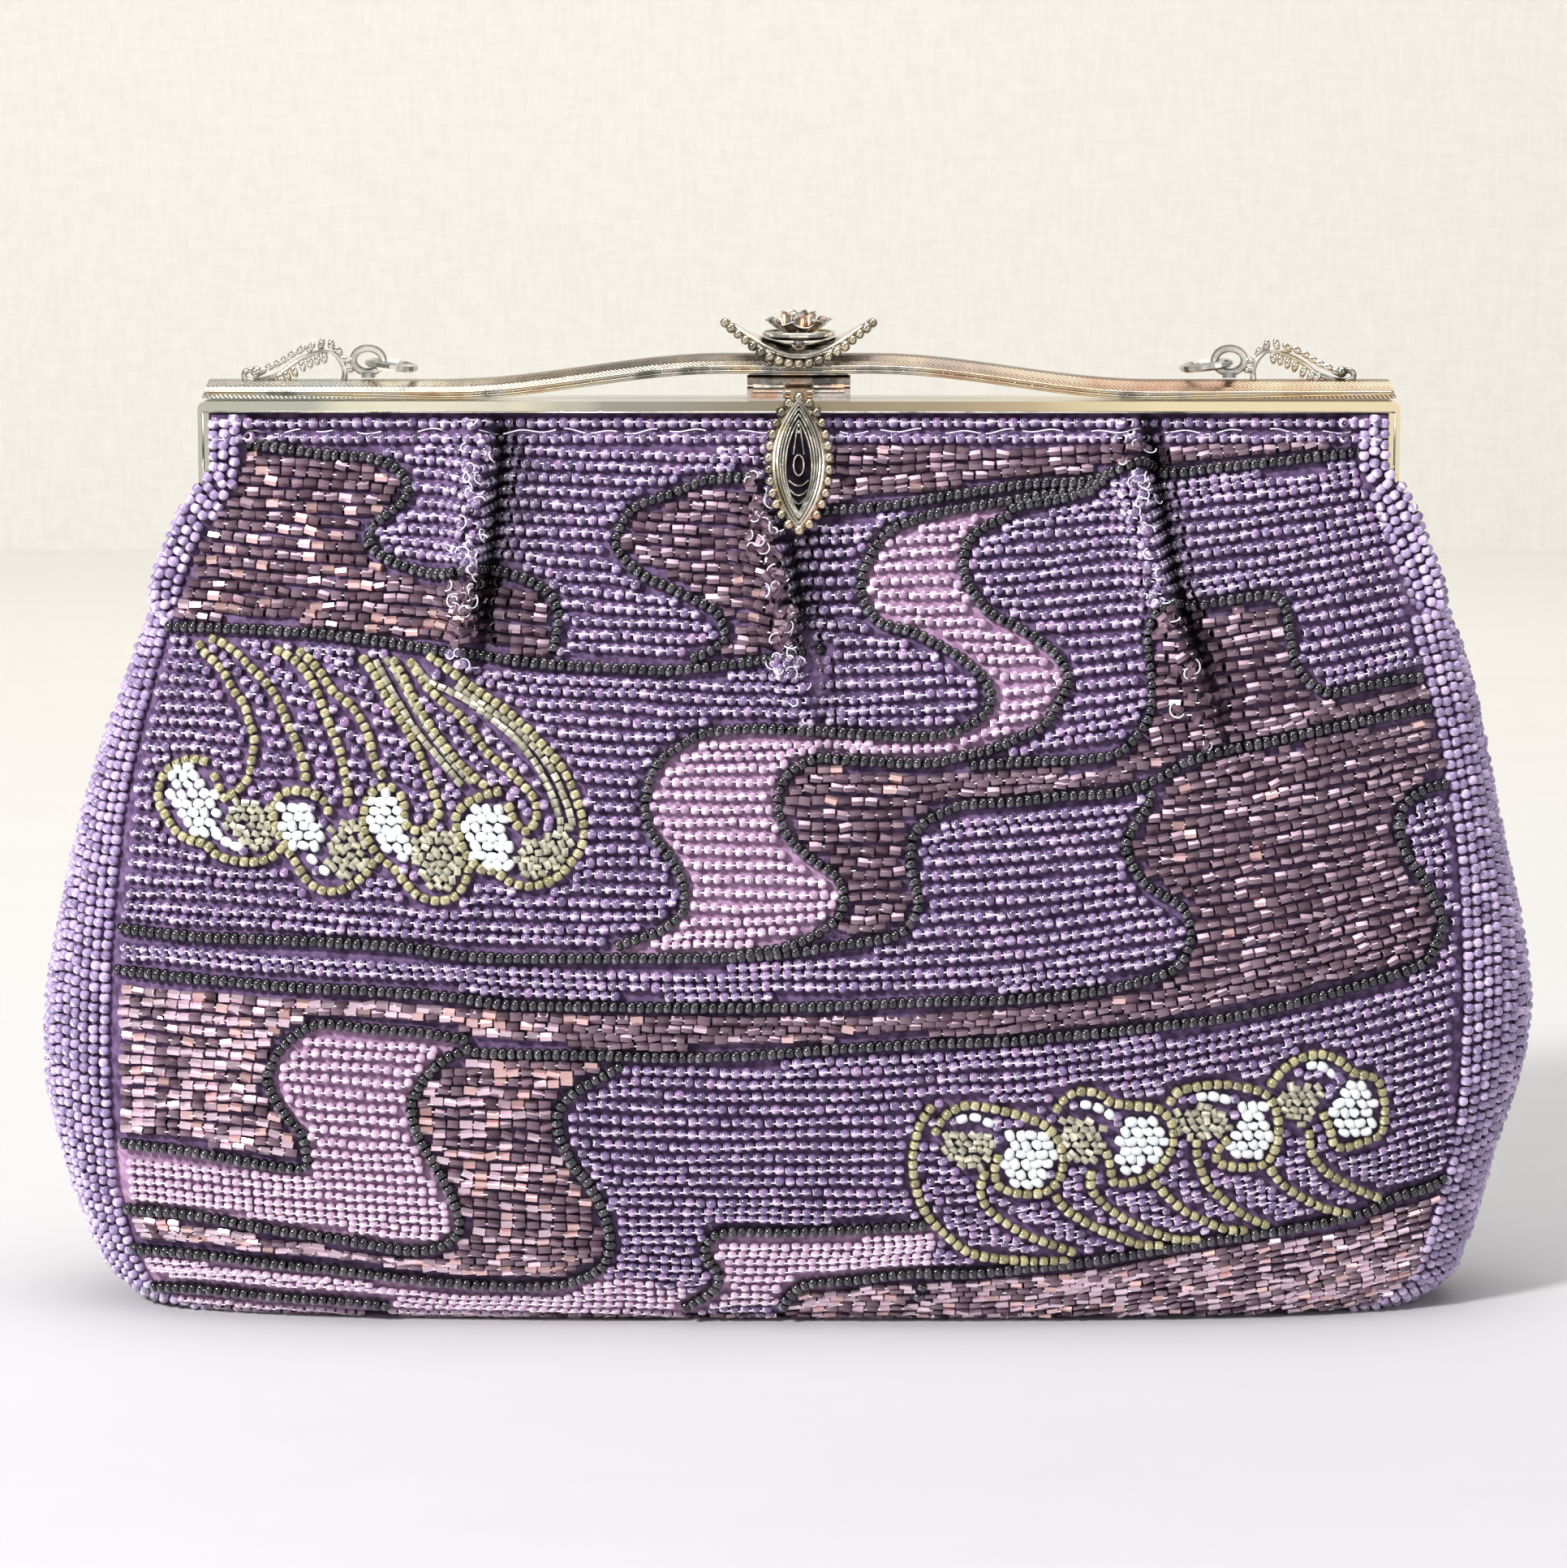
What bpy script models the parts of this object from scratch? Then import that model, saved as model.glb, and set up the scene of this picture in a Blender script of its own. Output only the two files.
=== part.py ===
"""A beaded evening clutch on a hinged metal frame, in metres, +Z up.

X runs along the frame, -Y is the front, and the origin is the middle of the base, where the bag stands.
"""

import math

import bpy
import bmesh
from mathutils import Matrix, Vector

# Driving sizes of the whole bag; the belly stands out past each end of the frame
FRAME_WIDTH = 0.184
FRAME_TOP = 0.1415
BELLY_OVERHANG = 0.0246
BODY_DEPTH = 0.056

# Clearances between pieces
FIT_GAP = 0.0003
SOLDER_GAP = 0.00025
RUNNING_GAP = 0.00012
CUT_OVERRUN = 0.004

# Beaded cloth, lining, pocket and base stiffener
SKIN_THICKNESS = 0.0015
LINING_THICKNESS = 0.0006
LINING_EASE = 0.0002
POCKET_THICKNESS = 0.0006
POCKET_WIDTH = 0.090
POCKET_LOW = 0.045
POCKET_HIGH = 0.098
BOARD_END_SPACE = 0.0316
BOARD_DEPTH = 0.022
BOARD_THICKNESS = 0.0012

# Frame channel and its rivets
FRAME_DEPTH = 0.0060
FRAME_PARTING = 0.0004
FRAME_WALL = 0.00065
FRAME_CORNER = 0.0012
LIP_HEIGHT = 0.00175
INNER_LIP_HEIGHT = 0.0028
RIVET_DROP = 0.0275
EAR_RADIUS = 0.0030
EAR_THICKNESS = 0.0006
EAR_SPACE = 0.00035
EAR_OVERLAP = 0.0020
LEG_CLEARANCE = 0.0006
MOUTH_INSET = 0.0026
RIVET_RADIUS = 0.0011
RIVET_HEAD_RADIUS = 0.0020
RIVET_HEAD_THICKNESS = 0.0007

# Engraved arch over the frame
ARCH_RISE = 0.0040
ARCH_FLAT_FROM = 0.054
ARCH_CREST_TO = 0.0115
ARCH_HEIGHT = 0.0026
ARCH_DEPTH = 0.0080
ARCH_FRONT = 0.0038
ARCH_END_STEP = 0.0008
ARCH_END_INSET = 0.0004

# Clasp housing
CLASP_WIDTH = 0.0158
CHEEK_THICKNESS = 0.0009
CHEEK_HEIGHT = 0.0016
PLATE_THICKNESS = 0.00045
CLASP_FRONT = 0.0060
CLASP_REAR = 0.0014
PIN_HEIGHT = 0.00115
PIN_DEPTH = 0.0050
PIN_RADIUS = 0.00040
KNUCKLE_RADIUS = 0.00078
TAB_KNUCKLE_WIDTH = 0.0042
BARREL_RADIUS = 0.0011
BARREL_HEIGHT = 0.0027
BARREL_DEPTH = 0.0025
KEEPER_PLATE_THICKNESS = 0.0005
LUG_THICKNESS = 0.0012
LUG_WIDTH = 0.0090
LUG_BACK = 0.0006
TONGUE_WIDTH = 0.0050
TONGUE_THICKNESS = 0.0004
TONGUE_LENGTH = 0.0028
SLOT_CLEARANCE = 0.0004

# Leaf tab and its granulated border
TAB_TILT = math.radians(18)
TAB_PLANE = 0.0015
TAB_LENGTH = 0.0187
TAB_HALF_WIDTH = 0.0035
TAB_START = 0.0022
RIM_WIDTH = 0.0012
RIM_THICKNESS = 0.0010
RIM_CROWN = 0.0004
ARM_THICKNESS = 0.0005
GRAIN_RADIUS = 0.00076
GRAIN_PITCH = 0.0020
WIRE_RADIUS = 0.00024
FILIGREE_LOOPS = 4

# Leaf and flower on the crest
LEAF_LENGTH = 0.0205
LEAF_HALF_WIDTH = 0.0038
LEAF_THICKNESS = 0.0007
LEAF_LIFT = 0.0030
LEAF_DROOP = 0.0016
FLOWER_LIFT = 0.0022
DISC_RADIUS = 0.0056
DISC_THICKNESS = 0.0005
DISC_CUP = 0.0006
PETAL_COUNT = 10
PETAL_HEIGHT = 0.0035
PETAL_WIDTH = 0.0025
PETAL_THICKNESS = 0.0004
PETAL_RING_RADIUS = 0.0038
PETAL_FLARE = math.radians(16)
STUD_RADIUS = 0.0008
STUD_HEAD_RADIUS = 0.0014

# Feather scrolls and rings, placed from the ends of the frame
FEATHER_FROM_END = 0.0214
FEATHER_SPAN = 0.0150
FEATHER_RISE = 0.0056
FEATHER_WIRE = 0.00045
FEATHER_BALL = 0.0008
LEAFLET_COUNT = 11
LEAFLET_LENGTH = 0.00085
EYE_FROM_END = 0.0257
EYE_RADIUS = 0.0023
EYE_FLATNESS = 0.8
EYE_WIRE = 0.00060
EYE_FOOT_RADIUS = 0.0011
EYE_FOOT_HEIGHT = 0.0002
RING_RADIUS = 0.0036
RING_WIRE = 0.00062
RING_DROOP = math.radians(7)

# Smoothness, in counts
BODY_POINTS = 32
ARC_STEPS = 12
WIRE_SIDES = 6
BALL_SIDES = 6
BALL_RINGS = 4
RING_STEPS = 24
MARQUISE_STEPS = 28

# Heights and places that follow from the sizes above
BODY_TOP = FRAME_TOP - FRAME_WALL - FIT_GAP
HALF_FRAME = FRAME_WIDTH / 2
BODY_WIDTH = FRAME_WIDTH + 2 * BELLY_OVERHANG
BOARD_LENGTH = BODY_WIDTH - 2 * BOARD_END_SPACE
RIVET_HEIGHT = FRAME_TOP - RIVET_DROP
FRAME_NEAR = FRAME_PARTING / 2
FRAME_FAR = FRAME_NEAR + FRAME_DEPTH
MOUTH_HALF_WIDTH = HALF_FRAME - MOUTH_INSET
MOUTH_HALF_DEPTH = FRAME_FAR - FRAME_WALL - FIT_GAP
LEG_BOTTOM = RIVET_HEIGHT + EAR_RADIUS + LEG_CLEARANCE
GROOVE_HALF_DEPTH = FRAME_FAR + FIT_GAP
GROOVE_IN = HALF_FRAME - EAR_THICKNESS * 2 - EAR_SPACE - RIVET_HEAD_THICKNESS - 3 * FIT_GAP
GROOVE_BOTTOM = RIVET_HEIGHT - EAR_RADIUS - FIT_GAP
LINING_INSET = SKIN_THICKNESS + FIT_GAP + LINING_EASE
POCKET_INSET = LINING_INSET + LINING_THICKNESS + FIT_GAP
BASE_RISE = SKIN_THICKNESS + 2 * FIT_GAP + BOARD_THICKNESS
ARCH_BASE = FRAME_TOP + FIT_GAP
CREST_TOP = ARCH_BASE + ARCH_RISE + ARCH_HEIGHT
PIN_Z = FRAME_TOP + PIN_HEIGHT
BELLY_SHARE = 0.33

# Height, half width, half depth and squareness of the body, from its base to its top edge.
# Width and depth run from 0 at the mouth's size to 1 at the belly's.
BODY_SHARES = (
    (0.000, 0.279, 0.449, 3.4),
    (0.011, 0.430, 0.608, 3.2),
    (0.029, 0.565, 0.694, 3.1),
    (0.071, 0.699, 0.799, 3.0),
    (0.121, 0.787, 0.877, 2.9),
    (0.178, 0.868, 0.939, 2.8),
    (0.257, 0.961, 0.991, 2.75),
    (0.335, 1.000, 1.000, 2.7),
    (0.428, 0.923, 0.956, 2.7),
    (0.520, 0.813, 0.869, 2.75),
    (0.613, 0.688, 0.755, 2.85),
    (0.706, 0.544, 0.607, 3.1),
    (0.784, 0.386, 0.457, 3.5),
    (0.842, 0.261, 0.335, 4.0),
    (0.898, 0.151, 0.203, 4.6),
    (0.941, 0.075, 0.107, 5.2),
    (0.975, 0.020, 0.020, 6.0),
    (0.993, 0.000, 0.000, 7.0),
    (1.000, 0.000, 0.000, 7.0),
)

# Height and half width of the seam between the panels and the side gussets, on the same scale
SEAM_SHARES = (
    (-0.050, 0.022),
    (0.000, 0.022),
    (0.022, 0.298),
    (0.043, 0.364),
    (0.079, 0.408),
    (0.129, 0.489),
    (0.214, 0.544),
    (0.414, 0.540),
    (0.507, 0.511),
    (0.607, 0.430),
    (0.699, 0.312),
    (0.785, 0.195),
    (0.892, 0.029),
    (0.964, -0.081),
    (1.050, -0.125),
)

METAL = (0.72, 0.69, 0.63)
COLOURS = {
    "beadwork": ((0.19, 0.14, 0.33), 0.35, 0.0),
    "lining": ((0.55, 0.48, 0.62), 0.6, 0.0),
    "board": ((0.55, 0.50, 0.42), 0.8, 0.0),
    "nickel": (METAL, 0.22, 1.0),
    "silver": ((0.80, 0.77, 0.70), 0.25, 1.0),
    "steel": ((0.42, 0.41, 0.40), 0.3, 1.0),
}


def clear_scene():
    for thing in list(bpy.data.objects):
        bpy.data.objects.remove(thing, do_unlink=True)


def material(name):
    found = bpy.data.materials.get(name)
    if found:
        return found
    colour, roughness, metallic = COLOURS[name]
    made = bpy.data.materials.new(name)
    made.use_nodes = True
    shader = made.node_tree.nodes["Principled BSDF"]
    shader.inputs["Base Color"].default_value = (*colour, 1.0)
    shader.inputs["Roughness"].default_value = roughness
    shader.inputs["Metallic"].default_value = metallic
    return made


def add_object(name, bm, finish=None, smooth=True):
    """Link the bmesh as a named object, its faces turned outwards."""
    bmesh.ops.recalc_face_normals(bm, faces=bm.faces)
    mesh = bpy.data.meshes.new(name)
    bm.to_mesh(mesh)
    bm.free()
    made = bpy.data.objects.new(name, mesh)
    bpy.context.scene.collection.objects.link(made)
    if finish:
        mesh.materials.append(material(finish))
    if smooth:
        mesh.shade_smooth()
        mesh.set_sharp_from_angle(angle=math.radians(40))
    return made


def combine(base, tool, operation):
    """Apply one Boolean to base and remove the tool."""
    modifier = base.modifiers.new("combine", "BOOLEAN")
    modifier.operation = operation
    modifier.solver = "EXACT"
    modifier.object = tool
    bpy.context.view_layer.update()
    graph = bpy.context.evaluated_depsgraph_get()
    mesh = bpy.data.meshes.new_from_object(base.evaluated_get(graph))
    base.modifiers.clear()
    base.data = mesh
    bpy.data.objects.remove(tool, do_unlink=True)
    return base


def cut(base, tool):
    return combine(base, tool, "DIFFERENCE")


def join(base, tool):
    return combine(base, tool, "UNION")


def keep(base, tool):
    return combine(base, tool, "INTERSECT")


def finish_as(made, name, finish):
    """Give a Boolean result its name, its one material and its smooth shading."""
    made.name = name
    made.data.name = name
    made.data.materials.clear()
    made.data.materials.append(material(finish))
    made.data.shade_smooth()
    made.data.set_sharp_from_angle(angle=math.radians(40))
    return made


def duplicate(source, name):
    made = bpy.data.objects.new(name, source.data.copy())
    bpy.context.scene.collection.objects.link(made)
    return made


def grid_solid(name, rings, closed_way=False, finish=None, split=False):
    """Skin rings of points into a solid, capped at both ends or joined end to end; split makes triangles."""
    bm = bmesh.new()
    rows = [[bm.verts.new(point) for point in ring] for ring in rings]
    count = len(rows[0])
    pairs = list(zip(rows, rows[1:]))
    if closed_way:
        pairs.append((rows[-1], rows[0]))
    for low, high in pairs:
        for i in range(count):
            j = (i + 1) % count
            if split:
                bm.faces.new((low[i], low[j], high[j]))
                bm.faces.new((low[i], high[j], high[i]))
            else:
                bm.faces.new((low[i], low[j], high[j], high[i]))
    if not closed_way:
        bm.faces.new(rows[0])
        bm.faces.new(rows[-1])
    return add_object(name, bm, finish)


def box(name, low, high, finish=None):
    bm = bmesh.new()
    bmesh.ops.create_cube(bm, size=1.0)
    middle = (Vector(low) + Vector(high)) / 2
    size = Vector(high) - Vector(low)
    for vert in bm.verts:
        vert.co = Vector(a * b for a, b in zip(vert.co, size)) + middle
    return add_object(name, bm, finish, smooth=False)


def rod(name, start, end, radius, sides=24, finish=None):
    """A straight round bar between two points."""
    start, end = Vector(start), Vector(end)
    turn = Vector((0, 0, 1)).rotation_difference(end - start)
    rings = []
    for centre in (start, end):
        ring = []
        for i in range(sides):
            angle = math.tau * i / sides
            ring.append(centre + turn @ Vector((radius * math.cos(angle), radius * math.sin(angle), 0)))
        rings.append(ring)
    return grid_solid(name, rings, finish=finish)


def ball(name, centre, radius, stretch=(1, 1, 1), turn=None, finish=None):
    """A bead of metal, stretched and turned about its centre."""
    bm = bmesh.new()
    bmesh.ops.create_uvsphere(bm, u_segments=BALL_SIDES, v_segments=BALL_RINGS, radius=radius)
    matrix = Matrix.Diagonal(Vector(stretch)).to_4x4()
    if turn:
        matrix = turn.to_4x4() @ matrix
    bmesh.ops.transform(bm, matrix=Matrix.Translation(centre) @ matrix, verts=bm.verts)
    return add_object(name, bm, finish)


def wire(name, points, radius, closed=False, sides=WIRE_SIDES, finish=None):
    """A round wire along points, square to the way it runs; radius is one value or one for each point."""
    count = len(points)
    radii = radius if isinstance(radius, list) else [radius] * count
    points = [Vector(point) for point in points]
    rings = []
    side = None
    for i, point in enumerate(points):
        before = points[(i - 1) % count] if closed or i else point
        after = points[(i + 1) % count] if closed or i < count - 1 else point
        along = (after - before).normalized()
        if side is None:
            guess = Vector((0, 1, 0)) if abs(along.y) < 0.9 else Vector((1, 0, 0))
            side = guess.cross(along).normalized()
        side = (side - along * side.dot(along)).normalized()
        other = along.cross(side)
        ring = []
        for k in range(sides):
            angle = math.tau * k / sides
            ring.append(point + radii[i] * (math.cos(angle) * side + math.sin(angle) * other))
        rings.append(ring)
    return grid_solid(name, rings, closed_way=closed, finish=finish)


def between(rows, height_share):
    """Read a table of shares at a height, rounding its corners with a cubic."""
    last = len(rows) - 1
    if height_share <= rows[0][0]:
        return rows[0][1:]
    if height_share >= rows[last][0]:
        return rows[last][1:]
    i = max(k for k in range(last) if rows[k][0] <= height_share)
    low, high = rows[i], rows[i + 1]
    before, after = rows[max(i - 1, 0)], rows[min(i + 2, last)]
    span = high[0] - low[0]
    t = (height_share - low[0]) / span
    found = []
    for k in range(1, len(low)):
        slope_low = (high[k] - before[k]) / (high[0] - before[0]) * span
        slope_high = (after[k] - low[k]) / (after[0] - low[0]) * span
        found.append(
            (2 * t**3 - 3 * t**2 + 1) * low[k]
            + (t**3 - 2 * t**2 + t) * slope_low
            + (3 * t**2 - 2 * t**3) * high[k]
            + (t**3 - t**2) * slope_high
        )
    return found


def half_width_at(share):
    """Half width at a share of the way from the mouth to the belly."""
    return MOUTH_HALF_WIDTH + (BODY_WIDTH / 2 - MOUTH_HALF_WIDTH) * share


def body_ring(height, inset):
    """One level of the body, drawn in by inset: a squared ellipse."""
    belly = BELLY_SHARE * BODY_TOP
    read_at = height - inset * max(0.0, 1 - height / belly)
    width_share, depth_share, squareness = between(BODY_SHARES, read_at / BODY_TOP)
    half_width = half_width_at(width_share) - inset
    half_depth = MOUTH_HALF_DEPTH + (BODY_DEPTH / 2 - MOUTH_HALF_DEPTH) * depth_share - inset
    ring = []
    for i in range(BODY_POINTS):
        angle = math.tau * (i + 0.5) / BODY_POINTS
        across, along = math.cos(angle), math.sin(angle)
        x = half_width * math.copysign(abs(across) ** (2 / squareness), across)
        y = half_depth * math.copysign(abs(along) ** (2 / squareness), along)
        ring.append((x, y, height))
    return ring


def body_solid(name, inset, bottom, top):
    """The body's outer shape drawn in by inset, between two heights, with the frame legs' grooves."""
    heights = [bottom]
    heights += [row[0] * BODY_TOP for row in BODY_SHARES if bottom < row[0] * BODY_TOP - inset / 2]
    heights = [height for height in heights if height < BODY_TOP]
    heights.append(BODY_TOP)
    rings = [body_ring(height, inset) for height in heights]
    if top > BODY_TOP:
        rings.append([(x, y, top) for x, y, _ in rings[-1]])
    made = grid_solid(name, rings, split=True)
    for side in (-1, 1):
        inner = side * (GROOVE_IN - inset)
        outer = side * BODY_WIDTH
        groove = box(
            "groove",
            (min(inner, outer), -GROOVE_HALF_DEPTH - inset, GROOVE_BOTTOM - inset),
            (max(inner, outer), GROOVE_HALF_DEPTH + inset, top + CUT_OVERRUN),
        )
        cut(made, groove)
    return made


def seam_block(name, near_offset, far, y_low, y_high):
    """A block whose inner or outer side follows the seam; far is zero for the block between both seams."""
    rings = []
    for height_share, width_share in SEAM_SHARES:
        seam = half_width_at(width_share) + near_offset
        if far:
            low, high = sorted((math.copysign(seam, far), far))
        else:
            low, high = -seam, seam
        height = height_share * BODY_TOP
        corners = ((low, y_low), (high, y_low), (high, y_high), (low, y_high))
        rings.append([(x, y, height) for x, y in corners])
    return grid_solid(name, rings)


def leg_block(side, grow):
    """The space round a closed pair of frame legs, whose cloth belongs to the gusset."""
    near = side * (half_width_at(SEAM_SHARES[-1][1]) - grow)
    low, high = sorted((near, side * BODY_WIDTH))
    deep = GROOVE_HALF_DEPTH + SKIN_THICKNESS + grow
    bottom = GROOVE_BOTTOM - SKIN_THICKNESS - grow
    return box("leg_block", (low, -deep, bottom), (high, deep, BODY_TOP + CUT_OVERRUN))


def lip_notch():
    """Room across the mouth for the frames' inner lips."""
    deep = FRAME_NEAR + FRAME_WALL + FIT_GAP
    low = FRAME_TOP - INNER_LIP_HEIGHT - FIT_GAP
    return box("notch", (-BODY_WIDTH, -deep, low), (BODY_WIDTH, deep, BODY_TOP + CUT_OVERRUN))


def make_body():
    """Front and rear panels, two side gussets, lining, pocket and base board."""
    skin = body_solid("skin", 0.0, 0.0, BODY_TOP)
    cavity = body_solid("cavity", SKIN_THICKNESS, SKIN_THICKNESS, BODY_TOP + CUT_OVERRUN)
    cut(skin, cavity)
    cut(skin, lip_notch())
    half_gap = FIT_GAP / 2
    for name, y_low, y_high in (
        ("front_panel", -BODY_DEPTH, -half_gap),
        ("rear_panel", half_gap, BODY_DEPTH),
    ):
        panel = keep(duplicate(skin, name), seam_block("between_seams", -half_gap, 0.0, y_low, y_high))
        for side in (-1, 1):
            cut(panel, leg_block(side, half_gap))
        finish_as(panel, name, "beadwork")
    for name, side in (("gusset_left", -1), ("gusset_right", 1)):
        block = seam_block("beyond_seam", half_gap, side * BODY_WIDTH, -BODY_DEPTH, BODY_DEPTH)
        join(block, leg_block(side, -half_gap))
        finish_as(keep(duplicate(skin, name), block), name, "beadwork")
    bpy.data.objects.remove(skin, do_unlink=True)

    lining = body_solid("lining", LINING_INSET, BASE_RISE, BODY_TOP)
    hollow_inset = LINING_INSET + LINING_THICKNESS
    hollow = body_solid("hollow", hollow_inset, BASE_RISE + LINING_THICKNESS, BODY_TOP + CUT_OVERRUN)
    cut(lining, hollow)
    finish_as(cut(lining, lip_notch()), "lining", "lining")

    pocket_floor = BASE_RISE + POCKET_INSET
    pocket = body_solid("lining_pocket", POCKET_INSET, pocket_floor, BODY_TOP)
    inside = body_solid("inside", POCKET_INSET + POCKET_THICKNESS, pocket_floor, BODY_TOP + CUT_OVERRUN)
    cut(pocket, inside)
    half_pocket = POCKET_WIDTH / 2
    keep(pocket, box("pocket_cut", (-half_pocket, 0, POCKET_LOW), (half_pocket, BODY_DEPTH, POCKET_HIGH)))
    finish_as(pocket, "lining_pocket", "lining")

    low = SKIN_THICKNESS + FIT_GAP
    outline = []
    corner = BOARD_DEPTH / 3
    for sx, sy, start in ((1, 1, 0), (-1, 1, 1), (-1, -1, 2), (1, -1, 3)):
        for k in range(5):
            angle = (start + k / 4) * math.pi / 2
            outline.append(
                (
                    sx * (BOARD_LENGTH / 2 - corner) + corner * math.cos(angle),
                    sy * (BOARD_DEPTH / 2 - corner) + corner * math.sin(angle),
                )
            )
    rings = [[(x, y, z) for x, y in outline] for z in (low, low + BOARD_THICKNESS)]
    grid_solid("base_board", rings, finish="board")


def channel(name, facing):
    """Half of the frame: a channel bent round three sides, open inwards; facing is -1 in front, 1 behind."""
    near, far = facing * FRAME_NEAR, facing * FRAME_FAR
    wall = facing * FRAME_WALL
    section = (
        (far, 0.0),
        (near, 0.0),
        (near, INNER_LIP_HEIGHT),
        (near + wall, INNER_LIP_HEIGHT),
        (near + wall, FRAME_WALL),
        (far - wall, FRAME_WALL),
        (far - wall, LIP_HEIGHT),
        (far, LIP_HEIGHT),
    )
    left_foot, left_corner, right_corner, right_foot = [], [], [], []
    for y, drop in section:
        left_foot.append((-HALF_FRAME + drop, y, LEG_BOTTOM))
        left_corner.append((-HALF_FRAME + drop, y, FRAME_TOP - drop))
        right_corner.append((HALF_FRAME - drop, y, FRAME_TOP - drop))
        right_foot.append((HALF_FRAME - drop, y, LEG_BOTTOM))
    made = grid_solid(name, [left_foot, left_corner, right_corner, right_foot])
    bm = bmesh.new()
    bm.from_mesh(made.data)
    tolerance = FRAME_WALL / 10
    corners = []
    for edge in bm.edges:
        ends = [vert.co for vert in edge.verts]
        on_corner = all(
            abs(abs(end.x) - HALF_FRAME) < tolerance and abs(end.z - FRAME_TOP) < tolerance for end in ends
        )
        if on_corner and ends[0].x * ends[1].x > 0:
            corners.append(edge)
    bmesh.ops.bevel(bm, geom=corners, offset=FRAME_CORNER, segments=4, affect="EDGES", profile=0.5)
    bmesh.ops.recalc_face_normals(bm, faces=bm.faces)
    bm.to_mesh(made.data)
    bm.free()

    step = (EAR_THICKNESS + EAR_SPACE) if facing > 0 else 0.0
    edge_inset = (FRAME_WALL - EAR_THICKNESS) / 2
    for side in (-1, 1):
        outer = side * (HALF_FRAME - edge_inset - step)
        inner = side * (HALF_FRAME - edge_inset - step - EAR_THICKNESS)
        ear = [(facing * (FRAME_FAR - edge_inset), LEG_BOTTOM + EAR_OVERLAP)]
        ear.append((facing * (FRAME_FAR - edge_inset), LEG_BOTTOM))
        for k in range(ARC_STEPS + 1):
            angle = math.radians(10) - math.radians(230) * k / ARC_STEPS
            ear.append((facing * EAR_RADIUS * math.cos(angle), RIVET_HEIGHT + EAR_RADIUS * math.sin(angle)))
        ear.append((facing * (FRAME_NEAR + edge_inset), LEG_BOTTOM))
        ear.append((facing * (FRAME_NEAR + edge_inset), LEG_BOTTOM + EAR_OVERLAP))
        rings = [[(x, y, z) for y, z in ear] for x in (inner, outer)]
        join(made, grid_solid("ear", rings))
        hole = rod(
            "hole",
            (inner - side * CUT_OVERRUN, 0, RIVET_HEIGHT),
            (outer + side * CUT_OVERRUN, 0, RIVET_HEIGHT),
            RIVET_RADIUS + RUNNING_GAP,
        )
        cut(made, hole)
    finish_as(made, name, "nickel")


def make_rivets():
    """One rivet through both ears on each side, headed outside and inside."""
    outside = HALF_FRAME + RUNNING_GAP
    inside = HALF_FRAME - 2 * EAR_THICKNESS - EAR_SPACE - FIT_GAP
    for name, side in (("side_rivet_left", -1), ("side_rivet_right", 1)):
        made = rod(
            name,
            (side * (inside - RIVET_HEAD_THICKNESS / 2), 0, RIVET_HEIGHT),
            (side * (outside + RIVET_HEAD_THICKNESS / 2), 0, RIVET_HEIGHT),
            RIVET_RADIUS,
        )
        for near in (outside, inside - RIVET_HEAD_THICKNESS):
            start, end = side * near, side * (near + RIVET_HEAD_THICKNESS)
            join(made, rod("head", (start, 0, RIVET_HEIGHT), (end, 0, RIVET_HEIGHT), RIVET_HEAD_RADIUS))
        finish_as(made, name, "nickel")


def arch_lift(x):
    """How far the arch stands above its flat ends at x."""
    run = (ARCH_FLAT_FROM - abs(x)) / (ARCH_FLAT_FROM - ARCH_CREST_TO)
    run = min(max(run, 0.0), 1.0)
    return ARCH_RISE * run * run * (3 - 2 * run)


# Depth behind the front edge and height of the arch's section: lower band, rope band and top band
ARCH_SECTION_SHARES = (
    (0.00, 0.00),
    (0.00, 0.26),
    (0.03, 0.34),
    (0.09, 0.38),
    (0.16, 0.62),
    (0.21, 0.70),
    (0.32, 0.92),
    (0.46, 1.00),
    (0.68, 1.00),
    (0.86, 0.84),
    (1.00, 0.46),
    (1.00, 0.00),
)


def make_arch():
    """The engraved strip that rises over the frame, fixed to the rear half."""
    half = HALF_FRAME - ARCH_END_INSET
    places = [-half, -(half + ARCH_FLAT_FROM) / 2]
    steps = 12
    for k in range(steps + 1):
        places.append(-ARCH_FLAT_FROM + (ARCH_FLAT_FROM - ARCH_CREST_TO) * k / steps)
    places += [-place for place in reversed(places)]
    rings = []
    for place in places:
        ring = []
        for back_share, up_share in ARCH_SECTION_SHARES:
            x = place
            if abs(place) == half:
                x -= math.copysign(ARCH_END_STEP * up_share, place)
            y = -ARCH_FRONT + ARCH_DEPTH * back_share
            ring.append((x, y, ARCH_BASE + arch_lift(place) + ARCH_HEIGHT * up_share))
        rings.append(ring)
    grid_solid("cover_arch", rings, finish="nickel")


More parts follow.
